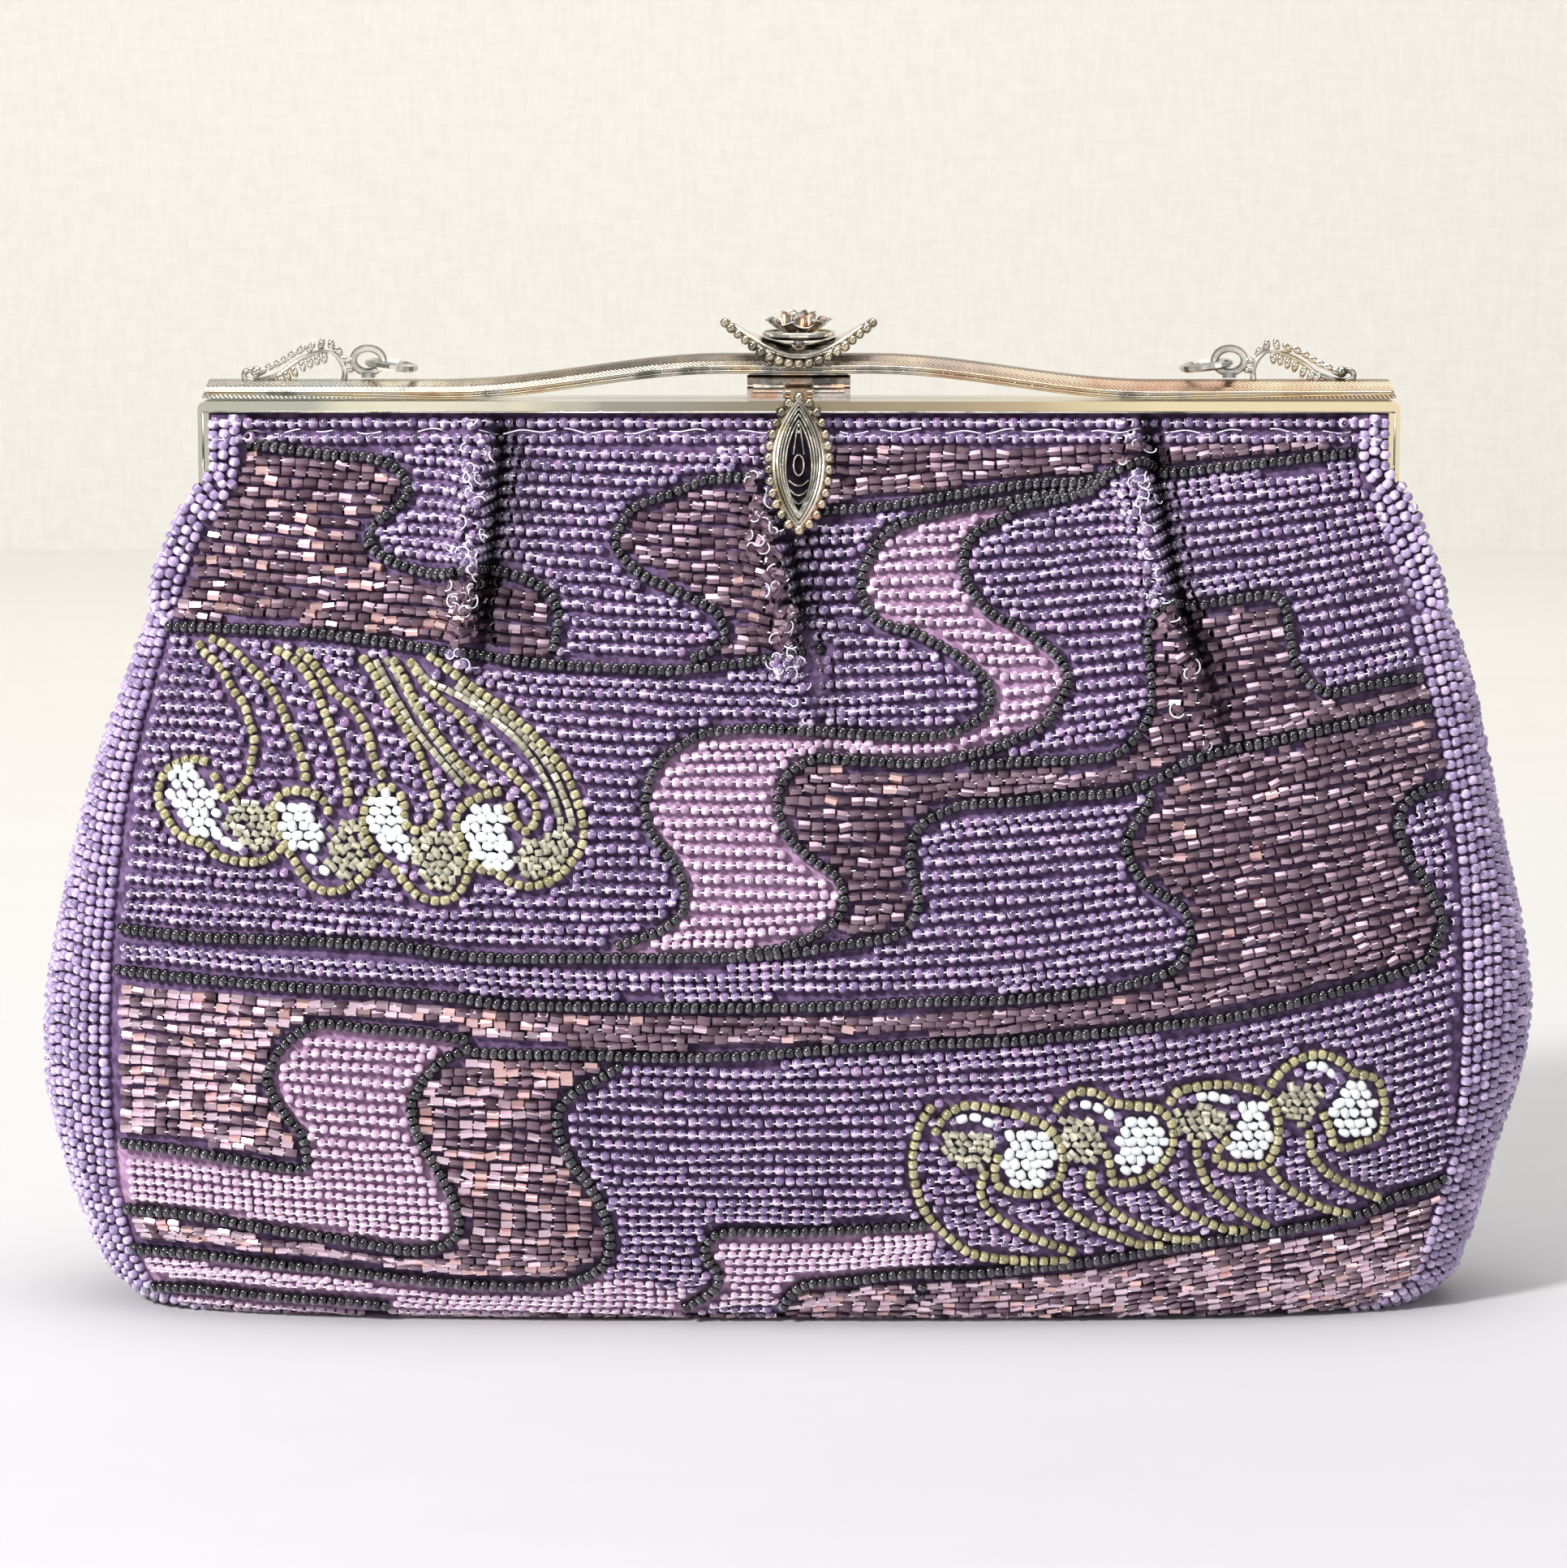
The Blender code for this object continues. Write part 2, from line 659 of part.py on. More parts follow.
def make_clasp():
    """Housing on the front half: base plate, cheeks and knuckles, pin and spring tongue."""
    half = CLASP_WIDTH / 2
    floor = FRAME_TOP + FIT_GAP
    housing = box("clasp_bracket", (-half, -CLASP_FRONT, floor), (half, -CLASP_REAR, floor + PLATE_THICKNESS))
    knuckle_cut = TAB_KNUCKLE_WIDTH / 2 + SOLDER_GAP
    cheek_back = -PIN_DEPTH + 2 * KNUCKLE_RADIUS
    cheek_low = floor + PLATE_THICKNESS / 2
    for side in (-1, 1):
        low, high = sorted((side * half, side * (half - CHEEK_THICKNESS)))
        join(housing, box("cheek", (low, -CLASP_FRONT, cheek_low), (high, cheek_back, floor + CHEEK_HEIGHT)))
        start = side * knuckle_cut
        end = side * (half - CHEEK_THICKNESS / 2)
        ends = [(x, -PIN_DEPTH, PIN_Z) for x in (start, end)]
        join(housing, rod("knuckle", *ends, KNUCKLE_RADIUS, 16))
    window_front, window_low = -CLASP_FRONT - CUT_OVERRUN, floor - CUT_OVERRUN
    window_back = -PIN_DEPTH + KNUCKLE_RADIUS + 2 * FIT_GAP
    cut(housing, box("window", (-knuckle_cut, window_front, window_low), (knuckle_cut, window_back, PIN_Z)))
    bore = PIN_RADIUS + RUNNING_GAP
    reach = half + CUT_OVERRUN
    cut(housing, rod("bore", (-reach, -PIN_DEPTH, PIN_Z), (reach, -PIN_DEPTH, PIN_Z), bore, 16))
    finish_as(housing, "clasp_bracket", "nickel")

    rod("clasp_pin", (-half, -PIN_DEPTH, PIN_Z), (half, -PIN_DEPTH, PIN_Z), PIN_RADIUS, 16, finish="steel")

    tongue_low = floor + PLATE_THICKNESS + SOLDER_GAP
    tongue_start = -CLASP_REAR - TONGUE_LENGTH / 3
    box(
        "catch_tongue",
        (-TONGUE_WIDTH / 2, tongue_start, tongue_low),
        (TONGUE_WIDTH / 2, tongue_start + TONGUE_LENGTH, tongue_low + TONGUE_THICKNESS),
        finish="steel",
    )

    top = ARCH_BASE + ARCH_RISE - FIT_GAP
    ends = [(x, -BARREL_DEPTH, FRAME_TOP + BARREL_HEIGHT) for x in (-half, half)]
    keeper = rod("keeper", *ends, BARREL_RADIUS, 16)
    plate_half = half - FIT_GAP
    plate_low = top - KEEPER_PLATE_THICKNESS
    plate_back = ARCH_DEPTH / 2 - ARCH_FRONT + LUG_THICKNESS
    join(keeper, box("plate", (-plate_half, -BARREL_DEPTH, plate_low), (plate_half, plate_back, top)))
    lug_half = LUG_WIDTH / 2
    lug_front = LUG_BACK - LUG_THICKNESS
    lug_low = FRAME_TOP + 2 * FIT_GAP
    lug_high = top - KEEPER_PLATE_THICKNESS / 2
    join(keeper, box("lug", (-lug_half, lug_front, lug_low), (lug_half, LUG_BACK, lug_high)))
    slot_half = TONGUE_WIDTH / 2 + SLOT_CLEARANCE
    slot = box(
        "slot",
        (-slot_half, lug_front - CUT_OVERRUN / 4, tongue_low - SLOT_CLEARANCE),
        (slot_half, LUG_BACK + CUT_OVERRUN, tongue_low + TONGUE_THICKNESS + SLOT_CLEARANCE),
    )
    cut(keeper, slot)
    finish_as(keeper, "keeper", "nickel")


def tab_point(across, down, out):
    """A point of the tab at its resting tilt: across, down its plane from the pin, and out from the pin."""
    y = -PIN_DEPTH - (out * math.cos(TAB_TILT) + down * math.sin(TAB_TILT))
    z = PIN_Z - (down * math.cos(TAB_TILT) - out * math.sin(TAB_TILT))
    return (across, y, z)


def leaf_point(across, along, up):
    """A point of the crest leaf: its ends curve up and its sides droop, more in front; along is left to right."""
    bend = LEAF_LIFT * (along / (LEAF_LENGTH / 2)) ** 2
    droop = LEAF_DROOP if across < 0 else LEAF_DROOP / 4
    bend -= droop * (across / LEAF_HALF_WIDTH) ** 2
    return (along, across, CREST_TOP + FIT_GAP + GRAIN_RADIUS + bend + up)


def marquise(half_length, half_width, tip_share=0.012):
    """Points round a pointed oval, as (across, along) pairs; tip_share blunts its two tips."""
    points = []
    for k in range(MARQUISE_STEPS):
        angle = math.tau * (k + 0.5) / MARQUISE_STEPS
        along = math.sin(angle)
        width = 1 - along * along
        side = 1 if math.cos(angle) >= 0 else -1
        points.append((side * half_width * max(width, tip_share), half_length * along))
    return points


def band(name, place, outer, inner, section, split=False):
    """A closed band between two marquises, each given as (half length, half width)."""
    outside, inside = marquise(*outer), marquise(*inner)
    rings = []
    for (xo, yo), (xi, yi) in zip(outside, inside):
        rings.append([place(xo + (xi - xo) * share, yo + (yi - yo) * share, up) for share, up in section])
    return grid_solid(name, rings, closed_way=True, split=split)


def even_oval(half_length, half_width, count):
    """Evenly spaced (across, along) places round a marquise, starting at a tip."""
    fine = []
    steps = 400
    for k in range(steps + 1):
        angle = math.tau * k / steps + math.pi / 2
        along = math.sin(angle)
        side = 1 if math.cos(angle) >= 0 else -1
        fine.append((side * half_width * (1 - along * along), half_length * along))
    lengths = [0.0]
    for a, b in zip(fine, fine[1:]):
        lengths.append(lengths[-1] + math.dist(a, b))
    places = []
    i = 0
    for n in range(count):
        target = lengths[-1] * n / count
        while lengths[i + 1] < target:
            i += 1
        t = (target - lengths[i]) / (lengths[i + 1] - lengths[i])
        places.append(tuple(a + (b - a) * t for a, b in zip(fine[i], fine[i + 1])))
    return places


# Place within one grain and its radius, both as shares; the necks join neighbouring grains
GRAIN_SHARES = ((-0.16, 0.94), (0.16, 0.94), (0.44, 0.45))


def make_border(name, place, half_length, half_width, lift):
    """Granulated wire: a string of round grains round a marquise, one of them on each tip."""
    middle = (half_length + 1.4 * GRAIN_RADIUS, half_width + GRAIN_RADIUS)
    girth = 0.0
    rough = even_oval(*middle, 64)
    for a, b in zip(rough, rough[1:] + rough[:1]):
        girth += math.dist(a, b)
    grains = 2 * round(girth / GRAIN_PITCH / 2)
    fine = 50
    path = even_oval(*middle, grains * fine)
    points, radii = [], []
    for n in range(grains):
        for way_share, radius_share in GRAIN_SHARES:
            across, along = path[round((n + way_share) * fine) % len(path)]
            points.append(place(across, along, lift))
            radii.append(GRAIN_RADIUS * radius_share)
    return wire(name, points, radii, closed=True, finish="silver")


def make_tab():
    """The leaf tab on its knuckle, its filigree and its granulated border."""
    half = TAB_LENGTH / 2
    middle = TAB_START + half

    def place(across, along, out):
        return tab_point(across, middle + along, TAB_PLANE + out)

    section = (
        (0.0, 0.0),
        (0.0, RIM_THICKNESS / 2),
        (0.3, RIM_THICKNESS / 2 + RIM_CROWN),
        (0.7, RIM_THICKNESS / 2 + RIM_CROWN),
        (1.0, RIM_THICKNESS / 2),
        (1.0, 0.0),
    )
    inner = (half - 1.5 * RIM_WIDTH, TAB_HALF_WIDTH - RIM_WIDTH)
    tab = band("leaf_tab", place, (half, TAB_HALF_WIDTH), inner, section)
    half_knuckle = TAB_KNUCKLE_WIDTH / 2
    arm_end = TAB_START + RIM_WIDTH
    profile = (
        (-KNUCKLE_RADIUS, 0.0),
        (-KNUCKLE_RADIUS + ARM_THICKNESS, 0.0),
        (-KNUCKLE_RADIUS + ARM_THICKNESS, TAB_PLANE - ARM_THICKNESS),
        (arm_end, TAB_PLANE - ARM_THICKNESS),
        (arm_end, TAB_PLANE + ARM_THICKNESS / 10),
        (-KNUCKLE_RADIUS / 2, TAB_PLANE + ARM_THICKNESS / 10),
        (-KNUCKLE_RADIUS, TAB_PLANE - ARM_THICKNESS),
    )
    arm_half = half_knuckle * 0.6
    rings = [[tab_point(x, down, out) for down, out in profile] for x in (-arm_half, arm_half)]
    join(tab, grid_solid("arm", rings))
    start, end = (-half_knuckle, -PIN_DEPTH, PIN_Z), (half_knuckle, -PIN_DEPTH, PIN_Z)
    join(tab, rod("knuckle", start, end, KNUCKLE_RADIUS, 16))
    bore = PIN_RADIUS + RUNNING_GAP
    reach = half_knuckle + CUT_OVERRUN
    cut(tab, rod("bore", (-reach, -PIN_DEPTH, PIN_Z), (reach, -PIN_DEPTH, PIN_Z), bore, 16))
    finish_as(tab, "leaf_tab", "silver")

    filigree_half = (inner[0] - SOLDER_GAP - WIRE_RADIUS * 2, inner[1] - SOLDER_GAP - WIRE_RADIUS)
    lift = WIRE_RADIUS + RIM_THICKNESS / 3
    tip_share = 1.2 * WIRE_RADIUS / filigree_half[1]
    outline = [place(across, along, lift) for across, along in marquise(*filigree_half, tip_share)]
    filigree = wire("tab_filigree", outline, WIRE_RADIUS, closed=True, sides=5)
    loop_radius = filigree_half[1] * 0.42
    loop_middle = -filigree_half[0] * 0.12
    loop = []
    for k in range(16):
        angle = math.tau * k / 16
        along = loop_middle + loop_radius * 1.3 * math.sin(angle)
        loop.append(place(loop_radius * math.cos(angle), along, lift))
    join(filigree, wire("loop", loop, WIRE_RADIUS, closed=True, sides=5))
    for n in range(FILIGREE_LOOPS):
        along = loop_middle + loop_radius * 1.3 + (filigree_half[0] - loop_middle) * 0.17 * (n + 0.35)
        width = filigree_half[1] * (1 - (along / filigree_half[0]) ** 2)
        scallop = []
        for k in range(7):
            t = 2 * k / 6 - 1
            scallop.append(place(width * t, along + width * 0.8 * (1 - t * t) - width * 0.3, lift))
        join(filigree, wire("scallop", scallop, WIRE_RADIUS, sides=5))
    for side in (-1, 1):
        spoke_start = loop_middle - loop_radius * 1.3
        points = [
            place(0.0, spoke_start, lift),
            place(side * loop_radius * 0.3, (spoke_start - filigree_half[0] * 0.8) / 2, lift),
            place(side * WIRE_RADIUS / 4, -filigree_half[0] * 0.93, lift),
        ]
        join(filigree, wire("stem", points, WIRE_RADIUS, sides=6))
        tie = [place(side * reach, loop_middle, lift) for reach in (loop_radius, filigree_half[1])]
        join(filigree, wire("tie", tie, WIRE_RADIUS, sides=6))
    finish_as(filigree, "tab_filigree", "silver")

    make_border("tab_bead_border", place, half + SOLDER_GAP, TAB_HALF_WIDTH + SOLDER_GAP, 1.25 * GRAIN_RADIUS)


def make_crest():
    """Saddle leaf with its grains, and the flower riveted through it."""
    half = LEAF_LENGTH / 2
    bore = STUD_RADIUS + SOLDER_GAP
    stations = (0, 0.3, 0.6, 0.85, 1)
    section = [(share, LEAF_THICKNESS * (1 - 0.3 * share)) for share in stations]
    section += [(share, 0.0) for share in reversed(stations)]
    leaf = band("top_leaf", leaf_point, (half, LEAF_HALF_WIDTH), (bore * 1.9, bore), section, split=True)
    finish_as(leaf, "top_leaf", "silver")
    make_border("top_leaf_beads", leaf_point, half + SOLDER_GAP, LEAF_HALF_WIDTH + SOLDER_GAP, 0.0)

    disc_low = CREST_TOP + FLOWER_LIFT
    rings = []
    for k in range(RING_STEPS):
        angle = math.tau * k / RING_STEPS
        ring = []
        for radius, up in (
            (bore, 0.0),
            (DISC_RADIUS * 0.7, 0.0),
            (DISC_RADIUS, DISC_CUP),
            (DISC_RADIUS, DISC_CUP + DISC_THICKNESS),
            (DISC_RADIUS * 0.7, DISC_THICKNESS),
            (bore, DISC_THICKNESS),
        ):
            ring.append((radius * math.cos(angle), radius * math.sin(angle), disc_low + up))
        rings.append(ring)
    grid_solid("flower_disc", rings, closed_way=True, finish="silver")

    petal_floor = disc_low + DISC_THICKNESS + SOLDER_GAP
    rings = []
    for k in range(RING_STEPS):
        angle = math.tau * k / RING_STEPS
        ring = []
        for radius, up in (
            (bore, 0.0),
            (PETAL_RING_RADIUS * 0.95, 0.0),
            (PETAL_RING_RADIUS * 0.95, PETAL_THICKNESS),
            (bore, PETAL_THICKNESS),
        ):
            ring.append((radius * math.cos(angle), radius * math.sin(angle), petal_floor + up))
        rings.append(ring)
    petals = grid_solid("flower_petals", rings, closed_way=True)
    outer_ring = (1.0, 0.85, PETAL_COUNT, 0.0)
    inner_ring = (0.58, 1.0, PETAL_COUNT // 2, 0.5)
    for radius_share, height_share, count, turn in (outer_ring, inner_ring):
        radius, height = PETAL_RING_RADIUS * radius_share, PETAL_HEIGHT * height_share
        for k in range(count):
            join(petals, make_petal(math.tau * (k + turn) / count, radius, height, petal_floor))
    finish_as(petals, "flower_petals", "silver")

    stud_low = CREST_TOP + FIT_GAP
    head_low = petal_floor + PETAL_THICKNESS + SOLDER_GAP
    stud = rod("flower_stud", (0, 0, stud_low), (0, 0, head_low + STUD_HEAD_RADIUS / 2), STUD_RADIUS, 16)
    head = ball("head", (0, 0, head_low + STUD_HEAD_RADIUS * 0.62), STUD_HEAD_RADIUS, (0.8, 0.8, 0.62))
    join(stud, head)
    finish_as(stud, "flower_stud", "silver")


def make_petal(heading, ring_radius, height, floor):
    """One upright petal, cupped across its width and flared outwards."""
    rings = []
    width = PETAL_WIDTH * (ring_radius / PETAL_RING_RADIUS) ** 0.5
    for share, width_share in ((0.0, 0.50), (0.35, 0.72), (0.75, 0.94), (1.0, 0.8)):
        up = height * share
        out = ring_radius * 0.8 + up * math.tan(PETAL_FLARE) * (0.6 + share)
        ring = []
        for side, thick in ((-1, 0), (0, 0), (1, 0), (1, 1), (0, 1), (-1, 1)):
            cup = 0.22 * width * (1 - side * side) * share
            radial = out + cup + PETAL_THICKNESS * (thick - 0.5)
            x = radial * math.cos(heading) - side * width / 2 * width_share * math.sin(heading)
            y = radial * math.sin(heading) + side * width / 2 * width_share * math.cos(heading)
            ring.append((x, y, floor + PETAL_THICKNESS / 4 + up))
        rings.append(ring)
    return grid_solid("petal", rings)


# Way along the feather's span from its foot, and height, of its bent spine
FEATHER_SHARES = (
    (0.00, 0.02),
    (-0.02, 0.22),
    (0.03, 0.46),
    (0.13, 0.70),
    (0.27, 0.86),
    (0.42, 0.88),
    (0.57, 0.74),
    (0.71, 0.50),
    (0.84, 0.27),
    (0.96, 0.20),
    (1.02, 0.33),
    (0.97, 0.44),
    (0.92, 0.38),
)


def smooth_path(points, steps):
    """Points along a smooth curve through the given ones."""
    found = []
    last = len(points) - 1
    for i in range(last):
        before, start, end, after = points[max(i - 1, 0)], points[i], points[i + 1], points[min(i + 2, last)]
        for k in range(steps):
            t = k / steps
            found.append(
                0.5
                * (
                    2 * start
                    + (end - before) * t
                    + (2 * before - 5 * start + 4 * end - after) * t * t
                    + (3 * start - before - 3 * end + after) * t**3
                )
            )
    found.append(points[last])
    return found


def make_feather(name, side):
    """A cast scroll: a bent spine with a curled tip, and leaflets along its upper edge."""
    base = ARCH_BASE + ARCH_HEIGHT + FIT_GAP
    middle = ARCH_DEPTH / 2 - ARCH_FRONT
    near = HALF_FRAME - FEATHER_FROM_END

    def place(way, high):
        return Vector((side * (near + FEATHER_SPAN * way), middle, base + FEATHER_WIRE + FEATHER_RISE * high))

    spine = smooth_path([place(way, high) for way, high in FEATHER_SHARES], 3)
    made = wire(name, spine, FEATHER_WIRE, sides=6)
    join(made, ball("tip", spine[-1], FEATHER_BALL))
    foot_x = spine[0].x
    foot_top = base + 3 * FEATHER_WIRE
    join(made, rod("foot", (foot_x, middle, base), (foot_x, middle, foot_top), 2 * FEATHER_WIRE, 12))
    first, last = 6, len(spine) - 12
    for n in range(LEAFLET_COUNT):
        i = first + (last - first) * n // (LEAFLET_COUNT - 1)
        along = (spine[i + 1] - spine[i - 1]).normalized()
        out = Vector((-along.z, 0, along.x)) * side
        if out.z < 0:
            out = -out
        if n == 0:
            out = Vector((-side, 0, 0))
        turn = Vector((0, 0, 1)).rotation_difference(out).to_matrix()
        centre = spine[i] + out * (FEATHER_WIRE + LEAFLET_LENGTH * 0.6)
        join(made, ball("leaflet", centre, LEAFLET_LENGTH, (0.55, 0.75, 1.15), turn))
    finish_as(made, name, "silver")


def circle(centre, radius, first, second):
    """Points round a circle spanned by two directions."""
    centre, first, second = Vector(centre), Vector(first), Vector(second)
    points = []
    for k in range(RING_STEPS):
        angle = math.tau * k / RING_STEPS
        points.append(centre + radius * (math.cos(angle) * first + math.sin(angle) * second))
    return points


def make_rings(side_name, side):
    """A standing eye on the arch, and the jump ring that hangs through it."""
    base = ARCH_BASE + ARCH_HEIGHT + FIT_GAP
    middle = ARCH_DEPTH / 2 - ARCH_FRONT
    eye_high = EYE_RADIUS * EYE_FLATNESS
    eye_z = base + EYE_FOOT_HEIGHT + EYE_WIRE + eye_high
    eye_x = side * (HALF_FRAME - EYE_FROM_END)
    loop = circle((eye_x, middle, eye_z), EYE_RADIUS, (1, 0, 0), (0, 0, EYE_FLATNESS))
    eye = wire(f"ring_eye_{side_name}", loop, EYE_WIRE, closed=True)
    foot_top = base + EYE_FOOT_HEIGHT + EYE_WIRE
    join(eye, rod("foot", (eye_x, middle, base), (eye_x, middle, foot_top), EYE_FOOT_RADIUS, 16))
    finish_as(eye, f"ring_eye_{side_name}", "steel")
    along = Vector((-side * math.cos(RING_DROOP), 0, -math.sin(RING_DROOP)))
    pivot_drop = eye_high - EYE_WIRE - RING_WIRE - FIT_GAP
    centre = Vector((eye_x, middle, eye_z - pivot_drop)) + along * RING_RADIUS
    loop = circle(centre, RING_RADIUS, along, (0, 1, 0))
    wire(f"jump_ring_{side_name}", loop, RING_WIRE, closed=True, finish="steel")


def make_all():
    clear_scene()
    make_body()
    channel("front_frame", -1)
    channel("rear_frame", 1)
    make_rivets()
    make_arch()
    make_clasp()
    make_tab()
    make_crest()
    for side_name, side in (("left", -1), ("right", 1)):
        make_feather(f"feather_{side_name}", side)
        make_rings(side_name, side)


make_all()
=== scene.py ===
"""Looks of the beaded evening clutch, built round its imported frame.

The beadwork is laid out in the photograph's own pixel places and dropped on the bag's curved sides along the
camera's rays. Every bead is real geometry; the rear side carries the same work mirrored.
"""

import math

import bmesh
import bpy
import numpy as np
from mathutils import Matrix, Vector


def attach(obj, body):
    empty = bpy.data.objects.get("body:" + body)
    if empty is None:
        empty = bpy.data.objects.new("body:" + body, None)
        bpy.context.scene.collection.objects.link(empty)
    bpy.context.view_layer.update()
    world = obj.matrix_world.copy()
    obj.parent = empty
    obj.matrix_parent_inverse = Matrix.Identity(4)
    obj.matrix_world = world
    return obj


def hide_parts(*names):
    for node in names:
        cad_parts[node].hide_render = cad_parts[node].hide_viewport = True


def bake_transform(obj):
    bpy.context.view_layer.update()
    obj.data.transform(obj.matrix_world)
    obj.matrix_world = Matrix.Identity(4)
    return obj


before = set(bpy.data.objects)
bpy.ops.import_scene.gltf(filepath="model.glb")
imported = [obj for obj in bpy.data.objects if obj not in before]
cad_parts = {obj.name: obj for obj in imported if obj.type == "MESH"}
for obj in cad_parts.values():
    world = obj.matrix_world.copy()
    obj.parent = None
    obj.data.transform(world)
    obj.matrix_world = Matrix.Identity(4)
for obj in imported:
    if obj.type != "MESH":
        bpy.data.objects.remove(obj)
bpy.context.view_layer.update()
rng = np.random.default_rng(7)

MM = 0.001

# Camera, fitted to the frame's corners, the base and the outline
PHOTO_WIDTH, PHOTO_HEIGHT = 1931, 1932
CAMERA_AT = np.array((0.0, -0.800, 0.2055))
CAMERA_YAW = math.radians(-0.168)
CAMERA_PITCH = math.radians(8.82)
FOCAL = 6401.0


def camera_axes():
    forward = np.array(
        (
            math.sin(CAMERA_YAW) * math.cos(CAMERA_PITCH),
            math.cos(CAMERA_YAW) * math.cos(CAMERA_PITCH),
            -math.sin(CAMERA_PITCH),
        )
    )
    right = np.array((math.cos(CAMERA_YAW), -math.sin(CAMERA_YAW), 0.0))
    return forward, right, np.cross(right, forward)


FORWARD, RIGHT, UP = camera_axes()


def rays(px, py):
    """Directions of the camera's rays through places on the photo, scaled to run one unit in y."""
    across = (np.asarray(px, float) - PHOTO_WIDTH / 2)[..., None] / FOCAL
    down = (np.asarray(py, float) - PHOTO_HEIGHT / 2)[..., None] / FOCAL
    way = FORWARD + RIGHT * across - UP * down
    return way / way[..., 1:2]


def seen_at(points):
    """Places on the photo of points in the frame's space."""
    away = np.asarray(points, float) - CAMERA_AT
    deep = away @ FORWARD
    return PHOTO_WIDTH / 2 + FOCAL * (away @ RIGHT) / deep, PHOTO_HEIGHT / 2 - FOCAL * (away @ UP) / deep


# Height (mm) with left half width, right half width, half depth (mm) and squareness of the bag
SECTION = np.array(
    (
        (0.0, 99.0, 95.0, 15.6, 3.4),
        (1.5, 103.5, 98.5, 19.1, 3.2),
        (4.1, 107.0, 102.2, 21.0, 3.1),
        (10.0, 110.9, 105.2, 23.4, 3.0),
        (17.0, 113.4, 107.4, 25.2, 2.9),
        (25.0, 115.8, 109.4, 26.6, 2.8),
        (36.1, 117.8, 112.8, 27.8, 2.75),
        (47.1, 117.7, 114.4, 28.0, 2.7),
        (60.2, 115.4, 112.7, 27.0, 2.7),
        (73.1, 112.5, 109.8, 25.0, 2.75),
        (86.2, 108.7, 107.0, 22.4, 2.85),
        (99.2, 103.9, 104.0, 19.1, 3.1),
        (110.2, 99.7, 99.8, 15.6, 3.5),
        (118.3, 96.4, 96.2, 12.9, 4.0),
        (126.2, 93.4, 93.2, 9.9, 4.6),
        (132.3, 91.2, 91.1, 7.7, 5.2),
        (137.0, 89.9, 89.9, 5.9, 6.0),
        (139.6, 89.4, 89.4, 5.25, 7.0),
        (140.5, 89.4, 89.4, 5.25, 7.0),
    )
)
# Height (mm) with the left and right seams' half widths (mm)
SEAM = np.array(
    (
        (0.0, 90.0, 84.0),
        (3.0, 99.5, 93.0),
        (6.0, 101.6, 95.4),
        (11.0, 103.6, 97.0),
        (18.0, 105.2, 99.0),
        (30.0, 106.1, 101.6),
        (45.0, 106.3, 102.2),
        (58.0, 105.8, 102.2),
        (70.0, 104.8, 101.6),
        (84.0, 102.9, 99.7),
        (97.0, 99.8, 96.9),
        (108.0, 96.6, 94.0),
        (123.0, 91.6, 90.4),
        (136.0, 86.3, 87.4),
        (142.0, 84.0, 86.0),
    )
)


def dense(table, steps=400):
    """Resample a table smoothly along its first column."""
    x = table[:, 0]
    slopes = np.gradient(table, x, axis=0)
    at = np.linspace(x[0], x[-1], steps)
    i = np.clip(np.searchsorted(x, at, side="right") - 1, 0, len(x) - 2)
    span = (x[i + 1] - x[i])[:, None]
    t = ((at - x[i]) / span[:, 0])[:, None]
    low, high = table[i], table[i + 1]
    found = (
        (2 * t**3 - 3 * t**2 + 1) * low
        + (t**3 - 2 * t**2 + t) * span * slopes[i]
        + (3 * t**2 - 2 * t**3) * high
        + (t**3 - t**2) * span * slopes[i + 1]
    )
    found[:, 0] = at
    return found


FINE_SECTION = dense(SECTION)
FINE_SEAM = dense(SEAM)


def read(table, height, column):
    return np.interp(np.asarray(height) / MM, table[:, 0], table[:, column]) * MM


def half_width(x, z):
    return np.where(x < 0, read(FINE_SECTION, z, 1), read(FINE_SECTION, z, 2))


def seam_width(side, z):
    return read(FINE_SEAM, z, 1 if side < 0 else 2)


def front_y(x, z, inset):
    """The front surface's y at (x, z); zero past the outline."""
    wide = half_width(x, z) - inset
    deep = read(FINE_SECTION, z, 3) - inset
    square = read(FINE_SECTION, z, 4) / MM
    share = np.clip(np.abs(x) / wide, 0, 1)
    return -deep * (1 - share**square) ** (1 / square)

# Tucks under the frame: photo places down each one with its strength there
TUCK_LEFT = (
    (592, 512, 0.8), (597, 560, 1.3), (592, 620, 1.4), (584, 690, 1.3), (574, 750, 1.1), (570, 810, 0.5),
    (568, 880, 0.0),
)
TUCK_MIDDLE = (
    (936, 560, 0.0), (942, 610, 0.8), (955, 680, 1.3), (966, 750, 1.3), (978, 820, 1.0), (990, 880, 0.4),
    (1004, 960, 0.0),
)
TUCK_RIGHT = (
    (1392, 512, 0.7), (1402, 560, 1.2), (1414, 640, 1.4), (1430, 720, 1.2), (1456, 800, 1.0),
    (1482, 870, 0.6), (1510, 980, 0.0),
)
# Each with its width in pixels and how far its shadow spreads, in widths
TUCKS = ((TUCK_LEFT, 20, 1.7), (TUCK_MIDDLE, 21, 1.1), (TUCK_RIGHT, 20, 0.9))
RIDGE_RISE, VALLEY_DEPTH = 2.3 * MM, 2.9 * MM


def tuck_at(tuck, px, py):
    """How many widths places lie to the right of a tuck, and its strength at their height."""
    line, width, _ = tuck
    across, down, strength = np.array(line, float).T
    return (px - np.interp(py, down, across)) / width, np.interp(py, down, strength)


